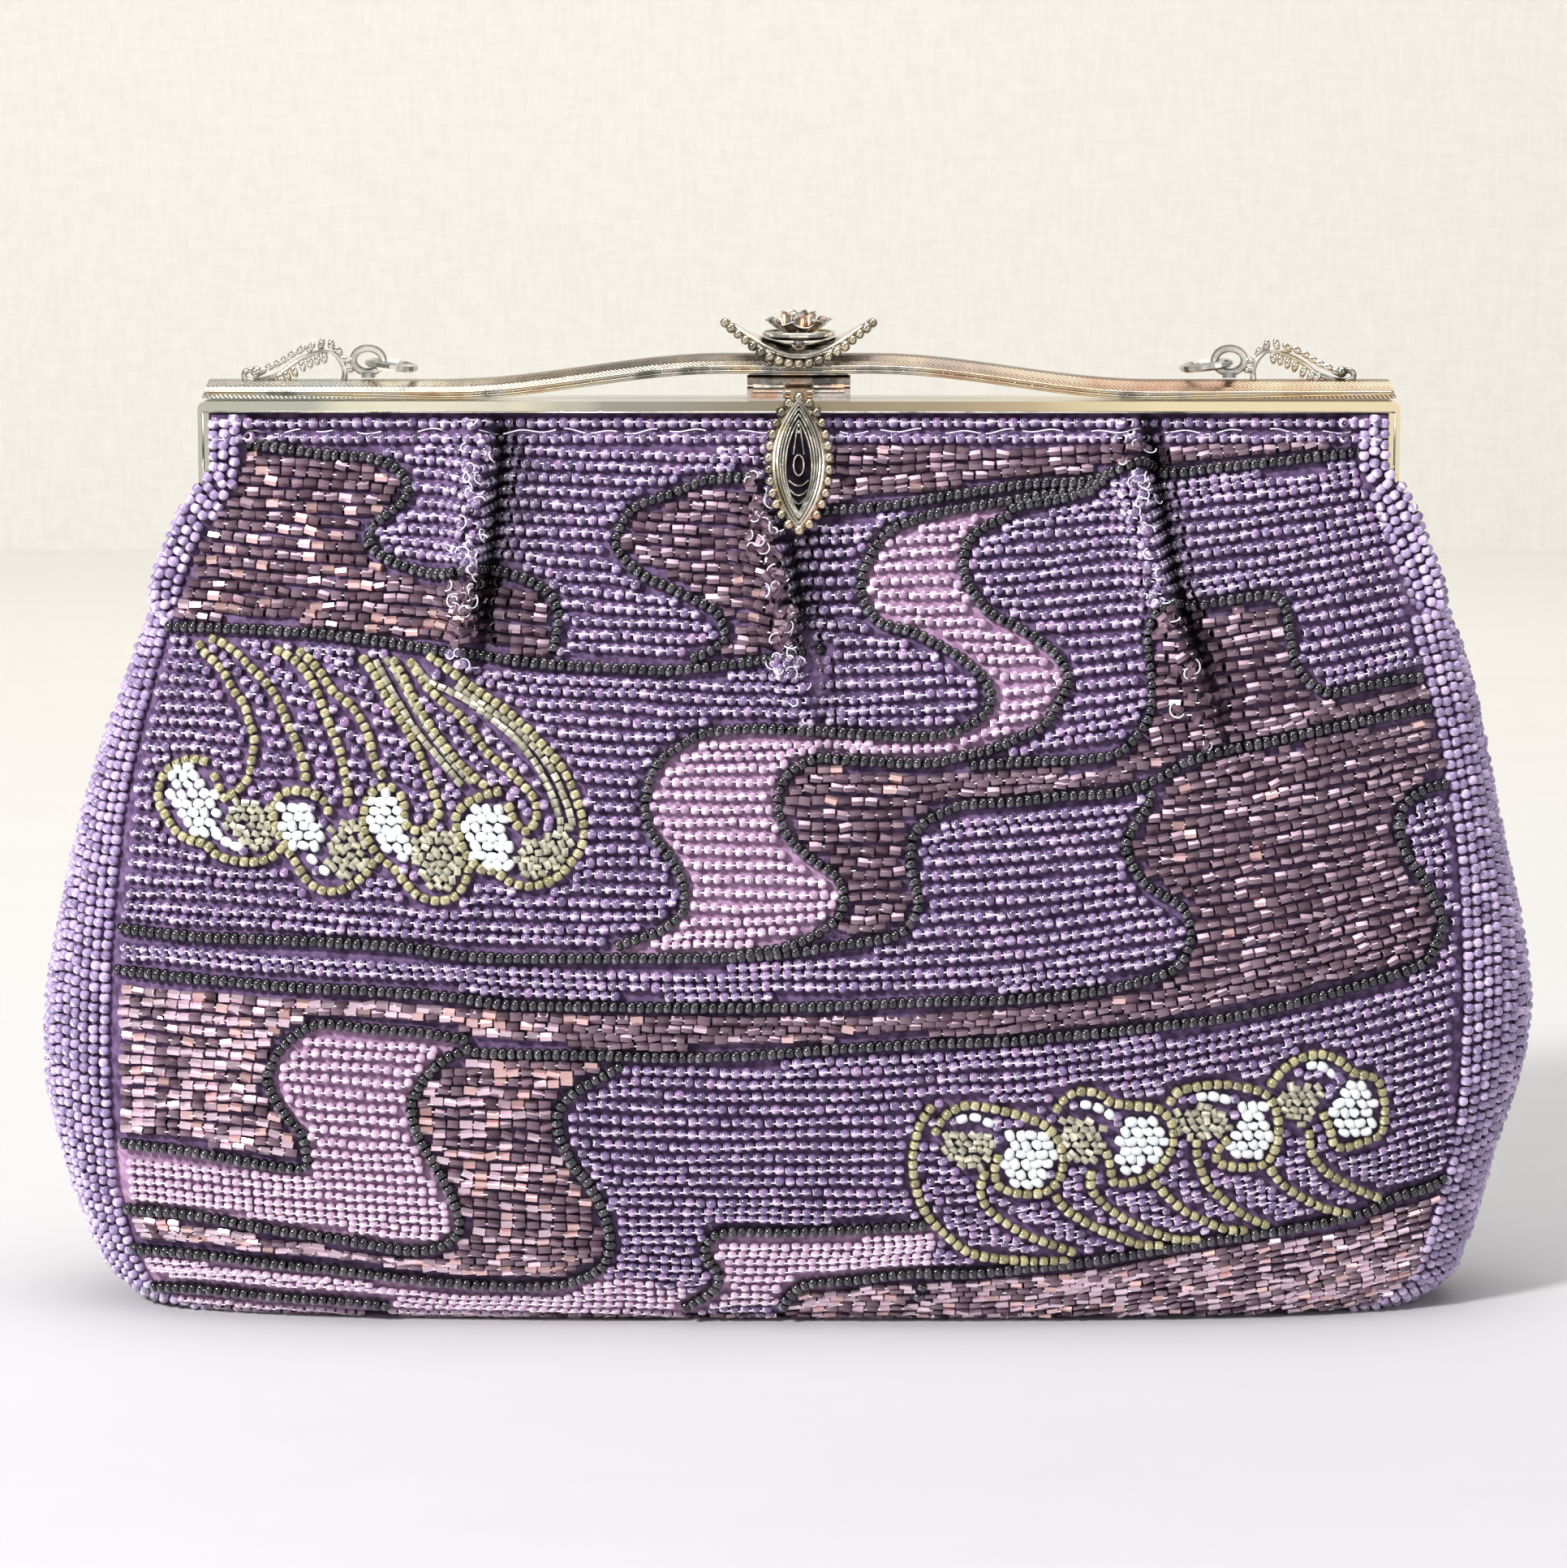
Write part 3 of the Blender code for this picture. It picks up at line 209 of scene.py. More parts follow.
def tuck_lift(px, py):
    """How far tucks push the cloth out, in metres: a ridge with a sharp valley on its right."""
    lift = np.zeros(np.shape(px))
    for tuck in TUCKS:
        off, strength = tuck_at(tuck, px, py)
        ridge = np.exp(-(((off + 0.75) / 1.15) ** 2))
        valley = np.exp(-(((off - 1.05) / 0.62) ** 2))
        lift += strength * (RIDGE_RISE * ridge - VALLEY_DEPTH * valley)
    return lift


def fold_shade(px, py):
    """How much light reaches a place beside the tucks, as painted shade: 1 in the open, little in a valley.
    """
    shade = np.ones(np.shape(px))
    for tuck in TUCKS:
        off, strength = tuck_at(tuck, px, py)
        dark = np.clip((off - 0.15) / 0.6, 0, 1) * np.exp(-((np.clip(off - 1.2, 0, 9) / tuck[2]) ** 1.5))
        shade = shade * (1 - 0.86 * np.clip(strength, 0, 1) * dark)
    return shade


def soft_wave(px, py):
    """Slow unevenness of the soft cloth, in metres."""
    return MM * (
        0.35 * np.sin(px / 173.0 + py / 241.0 + 0.7)
        + 0.25 * np.sin(px / 97.0 - py / 131.0 + 2.1)
        + 0.16 * np.sin(px / 53.0 + py / 67.0)
    )


def edge_fade(px, py):
    """1 in the middle of the panel, 0 at its seams and its top edge."""
    left = np.interp(py, (510, 1060, 1600), (290, 145, 185))
    right = np.interp(py, (510, 1060, 1600), (1690, 1800, 1740))
    side = np.clip(np.minimum(px - left, right - px) / 110, 0, 1)
    return side * np.clip((py - 512) / 60, 0, 1) * np.clip((1620 - py) / 60, 0, 1)


def cloth_push(px, py):
    """How far the cloth stands out from the bag's plain form, in metres."""
    return tuck_lift(px, py) * np.clip((py - 508) / 25, 0, 1) + soft_wave(px, py) * edge_fade(px, py)


# The search for the surface starts in front of the bag and halves its step each time
SEARCH_FROM_Y, SEARCH_STEPS = -0.045, 34
SURFACE_LOW, SURFACE_HIGH = 0.2 * MM, 140.4 * MM


def drop(px, py, inset):
    """Where the camera's rays meet the front surface; ok is False where they miss it."""
    way = rays(px, py)
    out = cloth_push(px, py)
    near = np.full(np.shape(px), SEARCH_FROM_Y)
    far = np.zeros(np.shape(px))
    for _ in range(SEARCH_STEPS):
        middle = (near + far) / 2
        at = CAMERA_AT + way * (middle - CAMERA_AT[1])[..., None]
        before = middle < front_y(at[..., 0], at[..., 2], inset) - out
        near = np.where(before, middle, near)
        far = np.where(before, far, middle)
    at = CAMERA_AT + way * (far - CAMERA_AT[1])[..., None]
    x, y, z = at[..., 0], at[..., 1], at[..., 2]
    ok = (np.abs(x) < half_width(x, z) - inset) & (z > SURFACE_LOW) & (z < SURFACE_HIGH) & (y < -0.2 * MM)
    return at, ok


def facing(px, py, inset):
    """Outward normals of the front surface at photo places."""
    a, _ = drop(px - 3, py, inset)
    b, _ = drop(px + 3, py, inset)
    c, _ = drop(px, py - 3, inset)
    d, _ = drop(px, py + 3, inset)
    normal = np.cross(b - a, c - d)
    normal /= np.linalg.norm(normal, axis=-1, keepdims=True) + 1e-12
    return np.where(normal[..., 1:2] > 0, -normal, normal)


def spline(points, steps):
    """A smooth line through the given points, with steps places from each to the next."""
    points = np.asarray(points, float)
    padded = np.vstack((2 * points[0] - points[1], points, 2 * points[-1] - points[-2]))
    t = np.linspace(0, 1, steps, endpoint=False)[:, None]
    parts = []
    for a, b, c, d in zip(padded, padded[1:], padded[2:], padded[3:]):
        cubic = 3 * b - a - 3 * c + d
        parts.append(0.5 * (2 * b + (c - a) * t + (2 * a - 5 * b + 4 * c - d) * t**2 + cubic * t**3))
    return np.vstack([*parts, points[-1:]])


def run_along(line):
    """The length along a line up to each of its points."""
    return np.concatenate(([0], np.cumsum(np.linalg.norm(np.diff(line, axis=0), axis=1))))


def sampled(at, run, values):
    """Rows of values at places along a run."""
    return np.stack([np.interp(at, run, column) for column in values.T], -1)


def directions(line, index):
    """The line's direction at places in it."""
    return sampled(index, np.arange(len(line)), np.gradient(line, axis=0))


def respace(line, step, lengths=None):
    """Points evenly spaced along a line, with the places in it that they come from."""
    run = run_along(line if lengths is None else lengths)
    count = max(int(run[-1] / step), 1)
    index = np.interp((np.arange(count) + 0.5) * run[-1] / count, run, np.arange(len(run)))
    return sampled(index, np.arange(len(line)), line), index


# Outlines of the flowing pattern, in the photo's pixels
LINE_A = (
    (290, 545), (330, 550), (400, 560), (460, 565), (490, 580), (503, 600), (495, 620), (475, 635),
    (460, 650), (455, 668), (470, 685), (500, 698), (540, 708), (580, 702), (620, 705), (650, 715),
    (675, 730), (688, 755), (685, 785), (680, 806),
)
LINE_B = (
    (205, 772), (300, 775), (400, 782), (480, 792), (530, 800), (600, 809), (667, 818), (768, 824),
    (836, 826), (937, 814), (979, 805), (1017, 799),
)
LINE_C = (
    (928, 588), (869, 593), (827, 609), (785, 624), (768, 643), (758, 670), (768, 687), (794, 710),
    (827, 725), (857, 740), (878, 750), (890, 767), (893, 788), (874, 803), (848, 814),
)
LINE_D = (
    (1011, 631), (1090, 624), (1133, 617), (1187, 609), (1236, 601), (1279, 596), (1334, 594), (1366, 585),
    (1404, 569), (1437, 583), (1496, 577), (1577, 569), (1659, 559), (1680, 555),
)
LINE_E = (
    (1366, 590), (1334, 604), (1290, 610), (1240, 618), (1190, 626), (1150, 634), (1122, 643), (1092, 658),
    (1071, 687), (1061, 717), (1067, 746), (1084, 767), (1122, 778), (1151, 792), (1181, 809), (1202, 826),
    (1219, 847), (1219, 872), (1202, 889), (1177, 902), (1139, 908), (1084, 906), (1021, 902), (979, 900),
    (937, 898), (895, 900), (861, 906), (836, 921), (815, 936), (802, 957), (796, 982), (796, 1011),
    (806, 1032), (823, 1053), (838, 1079), (844, 1104), (840, 1125), (815, 1146), (785, 1157), (756, 1167),
)
LINE_F = (
    (1350, 604), (1306, 615), (1252, 625), (1240, 637), (1206, 654), (1189, 675), (1187, 704), (1198, 729),
    (1219, 755), (1248, 770), (1278, 788), (1303, 809), (1316, 839), (1303, 868), (1286, 894), (1261, 906),
    (1223, 923), (1189, 931), (1147, 940), (1063, 938), (1021, 934), (996, 938), (970, 955), (958, 986),
    (966, 1020), (979, 1041), (1004, 1062), (1029, 1079), (1040, 1104), (1034, 1129), (1008, 1150),
    (970, 1167), (937, 1173), (895, 1180),
)
LINE_G = (
    (1193, 944), (1240, 940), (1282, 938), (1337, 936), (1379, 927), (1404, 902), (1417, 877), (1419, 835),
    (1415, 793), (1421, 763), (1438, 746), (1476, 746), (1526, 738), (1568, 734), (1585, 750), (1589, 784),
    (1596, 818), (1615, 843), (1644, 854), (1686, 845), (1728, 837), (1753, 835),
)
LINE_H = (
    (1762, 872), (1728, 879), (1678, 889), (1619, 902), (1560, 915), (1501, 927), (1459, 940), (1442, 952),
    (1404, 969), (1366, 978), (1303, 982), (1257, 988), (1189, 992), (1168, 999), (1143, 1011),
    (1126, 1028), (1122, 1058), (1126, 1087), (1132, 1112), (1122, 1138), (1101, 1154), (1063, 1161),
    (1021, 1167), (987, 1173),
)
LINE_I = (
    (1421, 973), (1413, 995), (1396, 1020), (1387, 1045), (1398, 1070), (1413, 1091), (1438, 1106),
    (1459, 1121), (1467, 1150), (1457, 1184), (1431, 1201), (1387, 1214), (1327, 1225), (1240, 1232),
)
LINE_J = (
    (1783, 965), (1753, 973), (1728, 995), (1724, 1024), (1732, 1053), (1753, 1083), (1770, 1117),
    (1777, 1142), (1769, 1160), (1756, 1184), (1717, 1201), (1656, 1219), (1587, 1238), (1517, 1253),
    (1448, 1262), (1370, 1271), (1283, 1279), (1240, 1283), (1147, 1286), (1021, 1293), (937, 1300),
    (836, 1303), (726, 1300), (600, 1297), (570, 1290),
)
LINE_L1 = (
    (145, 1143), (242, 1154), (335, 1158), (419, 1162), (503, 1168), (587, 1179), (700, 1181), (895, 1180),
    (987, 1173),
)
LINE_L2 = (
    (141, 1194), (208, 1202), (293, 1210), (377, 1217), (461, 1221), (545, 1227), (629, 1238), (726, 1240),
    (895, 1242), (1021, 1240), (1147, 1234), (1240, 1232),
)
LINE_K = (
    (579, 1282), (545, 1276), (503, 1271), (452, 1267), (410, 1262), (381, 1265), (356, 1282), (339, 1303),
    (330, 1328), (339, 1354), (356, 1379), (372, 1396), (377, 1417), (377, 1438), (351, 1438), (293, 1429),
    (225, 1417), (149, 1408),
)
LINE_M = (
    (570, 1295), (545, 1307), (520, 1333), (507, 1366), (516, 1400), (537, 1438), (553, 1467), (566, 1501),
    (562, 1522), (537, 1537), (495, 1539), (419, 1526), (335, 1514), (242, 1497), (154, 1488),
)
LINE_L4 = (
    (162, 1537), (250, 1545), (335, 1556), (419, 1564), (503, 1575), (600, 1583), (684, 1583), (730, 1568),
    (747, 1551), (752, 1526), (743, 1492), (726, 1459), (705, 1434), (690, 1400), (688, 1370), (709, 1345),
    (739, 1328), (768, 1311),
)
LINE_L5 = ((179, 1583), (250, 1587), (335, 1596), (419, 1602), (482, 1608))
LINE_N = (
    (1143, 1509), (1063, 1514), (979, 1518), (895, 1518), (874, 1528), (869, 1547), (886, 1572), (874, 1593),
    (840, 1612),
)
LINE_O = (
    (962, 1612), (975, 1593), (996, 1581), (1042, 1577), (1126, 1568), (1189, 1568), (1260, 1562),
    (1327, 1555), (1413, 1542), (1500, 1527), (1587, 1514), (1674, 1496), (1717, 1475), (1760, 1462),
    (1782, 1449),
)
LINE_SPUR = ((1139, 1577), (1130, 1602))
DARK_LINES = (
    LINE_A, LINE_B, LINE_C, LINE_D, LINE_E, LINE_F, LINE_G, LINE_H, LINE_I, LINE_J, LINE_L1, LINE_L2, LINE_K,
    LINE_M, LINE_L4, LINE_L5, LINE_N, LINE_O, LINE_SPUR,
)

# Wave crests: pale gold outlines with white foam and clear fill
GOLD_LINES = (
    # left crests' streamers
    ((244, 788), (250, 801), (267, 818), (278, 832), (288, 851), (301, 868), (307, 889), (314, 910),
     (311, 931), (307, 957), (293, 974), (280, 982)),
    ((256, 786), (272, 791), (290, 803), (309, 822), (330, 843), (345, 868), (356, 894), (366, 917),
     (375, 944), (377, 965)),
    ((337, 799), (360, 811), (377, 828), (389, 849), (398, 872), (408, 898), (417, 919), (423, 944),
     (429, 978), (427, 996)),
    ((366, 799), (380, 811), (396, 830), (410, 851), (431, 868), (446, 889), (455, 910), (461, 936),
     (474, 961)),
    ((444, 807), (461, 830), (474, 856), (490, 881), (505, 906), (516, 927), (524, 948), (532, 969),
     (541, 999), (532, 1016), (516, 1024), (499, 1014), (499, 995), (492, 974)),
    ((482, 809), (495, 830), (507, 856), (524, 885), (541, 910), (562, 936), (583, 957), (602, 971)),
    ((503, 811), (524, 843), (545, 864), (570, 885), (587, 910), (604, 931), (625, 948), (642, 965),
     (659, 986), (661, 1007), (650, 1024), (635, 1014), (625, 988)),
    ((526, 806), (547, 820), (572, 840), (602, 860), (631, 881), (661, 910), (688, 940), (705, 970),
     (718, 1010), (718, 1040), (700, 1068), (680, 1085), (654, 1092), (629, 1087), (612, 1075), (591, 1070),
     (575, 1053), (566, 1032), (562, 1007), (575, 990), (600, 979), (621, 974)),
    # left crests' outlines
    ((259, 940), (245, 936), (229, 936), (208, 948), (198, 965), (196, 986), (206, 1007), (217, 1024),
     (234, 1035), (255, 1041), (267, 1053), (288, 1060), (314, 1062), (335, 1056), (351, 1041)),
    ((284, 988), (274, 980), (267, 961), (261, 950)),
    ((405, 1006), (402, 990), (385, 978), (360, 974), (343, 982), (337, 999), (341, 1020), (351, 1041),
     (364, 1062), (377, 1083), (394, 1096), (415, 1098), (436, 1089), (452, 1075), (463, 1058)),
    ((490, 972), (474, 969), (457, 978), (450, 995), (448, 1020), (457, 1041), (469, 1058), (486, 1070),
     (499, 1087), (516, 1104), (541, 1110), (562, 1104), (575, 1083), (579, 1064)),
    # right crests' outlines
    ((1563, 1340), (1583, 1316), (1604, 1303), (1630, 1299), (1652, 1308), (1667, 1321), (1695, 1329),
     (1704, 1349), (1706, 1375), (1700, 1397), (1678, 1407), (1656, 1414), (1643, 1408), (1638, 1390),
     (1628, 1368)),
    ((1439, 1362), (1452, 1345), (1479, 1338), (1509, 1336), (1544, 1342), (1563, 1351), (1574, 1375),
     (1574, 1405), (1561, 1431), (1535, 1438), (1503, 1433), (1500, 1418), (1516, 1400)),
    ((1300, 1372), (1308, 1358), (1327, 1345), (1353, 1347), (1370, 1358), (1396, 1362), (1426, 1366),
     (1444, 1384), (1444, 1414), (1426, 1440), (1405, 1453), (1374, 1457), (1368, 1436), (1362, 1415)),
    ((1150, 1400), (1165, 1375), (1190, 1362), (1228, 1367), (1266, 1377), (1292, 1390), (1308, 1414),
     (1308, 1445), (1292, 1466), (1262, 1471), (1232, 1462), (1226, 1440), (1232, 1420)),
    # right crests' streamers
    ((1613, 1390), (1615, 1418), (1630, 1440), (1656, 1457), (1678, 1468), (1702, 1477)),
    ((1563, 1436), (1578, 1457), (1604, 1475), (1630, 1488), (1665, 1496)),
    ((1474, 1401), (1476, 1427), (1487, 1457), (1509, 1479), (1535, 1498), (1565, 1511)),
    ((1420, 1453), (1435, 1470), (1457, 1490), (1483, 1503), (1509, 1514), (1539, 1516)),
    ((1344, 1440), (1346, 1466), (1366, 1488), (1392, 1505), (1422, 1518), (1452, 1527), (1481, 1527)),
    ((1298, 1470), (1314, 1490), (1344, 1509), (1374, 1522), (1405, 1533), (1435, 1535)),
    ((1215, 1440), (1208, 1468), (1220, 1492), (1240, 1507), (1266, 1522), (1296, 1533), (1327, 1544)),
    ((1150, 1360), (1132, 1390), (1125, 1430), (1130, 1468), (1145, 1500), (1170, 1525), (1200, 1545),
     (1260, 1553), (1318, 1553)),
)
FOAM = (
    ((219, 944), (248, 944), (253, 961), (270, 986), (274, 1007), (270, 1028), (242, 1028), (223, 1013),
     (209, 995), (206, 974), (211, 953)),
    ((347, 984), (379, 984), (393, 1000), (393, 1020), (401, 1037), (391, 1056), (375, 1052), (361, 1043),
     (345, 1022), (341, 1003)),
    ((459, 976), (493, 978), (493, 1003), (506, 1024), (506, 1060), (484, 1060), (463, 1039), (450, 1011),
     (453, 988)),
    ((572, 1005), (594, 992), (608, 986), (625, 988), (621, 1007), (632, 1032), (628, 1068), (602, 1068),
     (581, 1055), (567, 1024)),
    ((1238, 1388), (1268, 1388), (1290, 1400), (1299, 1420), (1298, 1444), (1284, 1458), (1250, 1462),
     (1238, 1440)),
    ((1384, 1371), (1420, 1375), (1435, 1390), (1434, 1412), (1418, 1433), (1398, 1446), (1378, 1448),
     (1374, 1410)),
    ((1530, 1352), (1554, 1358), (1565, 1380), (1565, 1402), (1553, 1424), (1530, 1429), (1510, 1424),
     (1524, 1396)),
    ((1650, 1336), (1690, 1338), (1696, 1358), (1696, 1388), (1676, 1398), (1660, 1404), (1648, 1388),
     (1636, 1362)),
)
FOAM_ROWS = (
    ((262, 1024), (272, 1032), (284, 1040), (300, 1046)),
    ((376, 1052), (386, 1060), (396, 1070), (409, 1079)),
    ((1176, 1382), (1195, 1376), (1212, 1380), (1226, 1388)),
    ((1329, 1360), (1345, 1362), (1360, 1368), (1374, 1378)),
    ((1472, 1352), (1488, 1350), (1503, 1352), (1517, 1357)),
    ((1608, 1314), (1622, 1312), (1635, 1318), (1645, 1328)),
)
CLEAR_FILL = (
    ((1165, 1392), (1190, 1390), (1226, 1398), (1224, 1430), (1208, 1442), (1180, 1438), (1160, 1420)),
    ((1306, 1376), (1330, 1372), (1362, 1384), (1364, 1408), (1352, 1432), (1322, 1436), (1304, 1410)),
    ((1446, 1364), (1475, 1362), (1515, 1366), (1516, 1388), (1498, 1408), (1462, 1408), (1446, 1390)),
    ((1573, 1342), (1598, 1330), (1632, 1336), (1628, 1360), (1616, 1386), (1590, 1384), (1572, 1364)),
    ((280, 992), (309, 980), (333, 992), (340, 1016), (341, 1041), (318, 1052), (303, 1041), (277, 1018)),
    ((410, 1014), (436, 1014), (455, 1037), (455, 1058), (440, 1077), (419, 1089), (404, 1064), (402, 1037)),
    ((510, 1034), (537, 1018), (564, 1032), (573, 1058), (564, 1089), (541, 1102), (518, 1089), (509, 1062)),
    ((636, 1043), (654, 1034), (680, 1026), (706, 1012), (708, 1044), (688, 1072), (660, 1083), (642, 1080),
     (632, 1062)),
)
CLEAR_LINES = (
    ((462, 812), (476, 839), (494, 871), (512, 900), (534, 926), (552, 947), (570, 969)),
    ((474, 810), (490, 832), (506, 862), (526, 895), (545, 922), (565, 948), (584, 966)),
    ((507, 814), (525, 836), (550, 850), (572, 861), (594, 877), (615, 893), (637, 912), (655, 934),
     (669, 956), (682, 984), (690, 1010), (690, 1030)),
    ((560, 843), (585, 862), (612, 880), (637, 898), (658, 920), (677, 944), (690, 970), (701, 998),
     (706, 1020)),
)


def polygon(*parts):
    """A closed outline from lines and corner places, laid one after another."""
    found = []
    for part in parts:
        part = np.asarray(part, float)
        found.append(part[None] if part.ndim == 1 else part)
    return np.vstack(found)


def inside(outline, px, py):
    """True where the places lie inside the outline."""
    x1, y1 = outline[:, 0], outline[:, 1]
    x2, y2 = np.roll(x1, -1), np.roll(y1, -1)
    crossed = np.zeros(np.shape(px), bool)
    for a, b, c, d in zip(x1, y1, x2, y2):
        if b == d:
            continue
        hit = ((b > py) != (d > py)) & (px < (c - a) * (py - b) / (d - b) + a)
        crossed ^= hit
    return crossed


def up_to(line, place):
    """The line's part before the place nearest to the given one."""
    line = np.asarray(line, float)
    return line[: np.argmin(np.hypot(*(line - place).T)) + 1]


def onward(line, place):
    line = np.asarray(line, float)
    return line[np.argmin(np.hypot(*(line - place).T)) :]


CUT_REGIONS = (
    polygon(LINE_A, (680, 818), up_to(LINE_B, (667, 818))[::-1]),
    polygon(LINE_C, (900, 818), (985, 804), (975, 740), (950, 660), (930, 588)),
    polygon((1040, 548), (1700, 548), (1690, 554), LINE_D[::-1], (985, 640), (990, 600), (1010, 548)),
    polygon(onward(LINE_F, (1147, 940)), LINE_H[::-1], LINE_G[::-1]),
    polygon(
        up_to(LINE_H, (1421, 960))[::-1], (1790, 870), (1800, 960), up_to(LINE_J, (1240, 1283)), LINE_I[::-1],
    ),
    polygon(LINE_L2, (1240, 1283), onward(LINE_J, (1240, 1283)), LINE_K, (130, 1408), (130, 1194)),
    polygon(LINE_M, (150, 1537), LINE_L4, (600, 1290)),
    polygon(LINE_O, (1820, 1449), (1820, 1640), (962, 1640)),
)
MAUVE_REGIONS = (
    polygon(LINE_E, (756, 1180), (895, 1180), LINE_F[::-1]),
    polygon(LINE_K, (130, 1408), (130, 1490), LINE_M[::-1]),
    polygon(
        up_to(LINE_L4, (730, 1568)), (830, 1586), (874, 1600), (850, 1640), (482, 1640),
        LINE_L5[::-1], (150, 1560),
    ),
    polygon(LINE_L5, (520, 1650), (150, 1650)),
    polygon(LINE_N, (962, 1612), (975, 1593), (1042, 1577), (1139, 1568), (1160, 1520)),
)


def fall_left(y0):
    """Depth (px) and squareness of the rows' rise towards the left edge."""
    deep = np.interp(y0, (512, 548, 800, 960, 1150, 1300, 1583, 1622), (0, 50, 55, 48, 38, 38, 44, 36))
    bend = np.interp(y0, (560, 800, 1150, 1622), (1.15, 1.2, 1.6, 1.6))
    return deep, bend


def fall_right(y0):
    return np.interp(y0, (512, 548, 800, 960, 1290, 1577, 1622), (0, 58, 84, 97, 113, 112, 92))


def row_places(y0, px):
    """The photo heights of the row that crosses the middle at y0."""
    deep, bend = fall_left(y0)
    left = np.clip((930 - px) / 785, 0, 1.25)
    right = np.clip((px - 1000) / 770, 0, 1.2)
    py = y0 - deep * left**bend - fall_right(y0) * right**2.1
    py += 1.3 * np.sin(px / 61.0 + y0 / 37.0) + 0.8 * np.sin(px / 29.0 + y0 / 11.0)
    for tuck in TUCKS:
        off, strength = tuck_at(tuck, px, py)
        py = py + strength * (7 * np.exp(-((off / 1.1) ** 2)) - 4 / (1 + np.exp(-3 * off)))
    return py


def row_pitch(y0, cut):
    """Rows lie closer where the panel curves under; the two-cut rows are the narrower ones."""
    wide = np.interp(y0, (520, 1250, 1400, 1500, 1550, 1620), (17.1, 16.9, 15.2, 12.4, 10.8, 7.5))
    return wide * (0.875 if cut else 1.0)


# Kinds of bead: length, diameter and pitch along the thread (mm)
KIND_SIZES = {
    "edge": (1.50, 1.74, 1.68),
    "lavender": (1.46, 1.70, 1.66),
    "mauve": (1.38, 1.60, 1.60),
    "two_cut": (1.92, 1.52, 2.04),
    "hematite": (1.22, 1.92, 1.36),
    "gold": (1.40, 1.56, 1.54),
    "foam": (1.92, 1.52, 1.70),
    "clear": (1.35, 1.15, 1.40),
}
KINDS = {kind: tuple(value * MM for value in sizes) for kind, sizes in KIND_SIZES.items()}
BEAD_INSET = 0.45 * MM
CLOTH_INSET = 1.25 * MM


class Beads:
    """A growing list of beads of one kind: centre, thread direction, outward normal and size."""

    def __init__(self):
        self.centre, self.along, self.out, self.size, self.link = [], [], [], [], []

    def add(self, centre, along, out, size, link=None):
        self.centre.append(centre)
        self.along.append(along)
        self.out.append(out)
        self.size.append(np.broadcast_to(size, (len(centre), 2)))
        self.link.append(np.zeros(len(centre), bool) if link is None else link)

    def arrays(self):
        parts = (self.centre, self.along, self.out, self.size, self.link)
        return tuple(np.concatenate(part) for part in parts)


front = {kind: Beads() for kind in KINDS}
placed = []


def lay_line(line, kind):
    """String beads of one kind along a line of photo places."""
    length, across, pitch = KINDS[kind]
    fine, _ = respace(spline(line, 12), 2.0)
    at, ok = drop(*fine.T, BEAD_INSET)
    if ok.sum() < 3:
        return
    at = at[ok]
    places, index = respace(fine[ok], pitch, at)
    centre, _ = drop(*places.T, BEAD_INSET)
    normal = facing(*places.T, BEAD_INSET)
    centre = centre + normal * 0.15 * MM
    front[kind].add(centre, directions(at, index), normal, (length, across), np.ones(len(centre), bool))
    placed.append(places)


for lines, kind in (
    (DARK_LINES, "hematite"), (GOLD_LINES, "gold"), (FOAM_ROWS, "foam"), (CLEAR_LINES, "clear"),
):
    for line in lines:
        lay_line(line, kind)


def lay_fill(outline, kind, pitch, wander, heading):
    """Fill an outline with loosely packed beads; pitch and wander are in pixels."""
    outline = np.asarray(outline, float)
    low, high = outline.min(0), outline.max(0)
    gx, gy = np.meshgrid(np.arange(low[0], high[0], pitch), np.arange(low[1], high[1], pitch * 0.86))
    gx = gx + (np.arange(len(gx)) % 2)[:, None] * pitch / 2
    gx, gy = gx.ravel(), gy.ravel()
    gx = gx + rng.normal(0, wander, gx.shape)
    gy = gy + rng.normal(0, wander, gy.shape)
    kept = inside(outline, gx, gy)
    gx, gy = gx[kept], gy[kept]
    centre, ok = drop(gx, gy, BEAD_INSET)
    normal = facing(gx, gy, BEAD_INSET)
    turn = rng.normal(heading, 0.5, len(gx))
    along = np.stack((np.cos(turn), np.zeros(len(gx)), np.sin(turn)), 1)
    centre = centre + normal * 0.1 * MM
    front[kind].add(centre[ok], along[ok], normal[ok], KINDS[kind][:2])
    placed.append(np.stack((gx, gy), 1))


for outline in FOAM:
    lay_fill(outline, "foam", 13.4, 0.8, -0.6)
for outline in CLEAR_FILL:
    lay_fill(outline, "clear", 10.8, 1.2, -0.7)

TAKEN = np.vstack(placed)


def far_from_taken(px, py, reach):
    """True where a place is further than reach from every bead already placed."""
    clear = np.ones(len(px), bool)
    for start in range(0, len(px), 2000):
        part = slice(start, start + 2000)
        gap = (px[part, None] - TAKEN[None, :, 0]) ** 2 + ((py[part, None] - TAKEN[None, :, 1]) * 0.92) ** 2
        clear[part] = gap.min(1) > reach**2
    return clear


def give_way(px, py):
    """Move beads up or down so that rows lie neatly against the lines; also the ones to drop."""
    moved, near = py.copy(), np.zeros(len(px), bool)
    for start in range(0, len(px), 1000):
        part = slice(start, start + 1000)
        off = py[part, None] - TAKEN[None, :, 1]
        off = np.where(np.abs(px[part, None] - TAKEN[None, :, 0]) < 8, off, 99.0)
        pick = np.abs(off).argmin(1)
        off = off[np.arange(len(off)), pick]
        near[part] = np.abs(off) < 6
        wanted = np.interp(np.abs(off), (0, 6, 17, 34), (11, 12.5, 20, 34))
        moved[part] += np.where(np.abs(off) < 34, np.sign(off) * wanted - off, 0)
    return moved, near


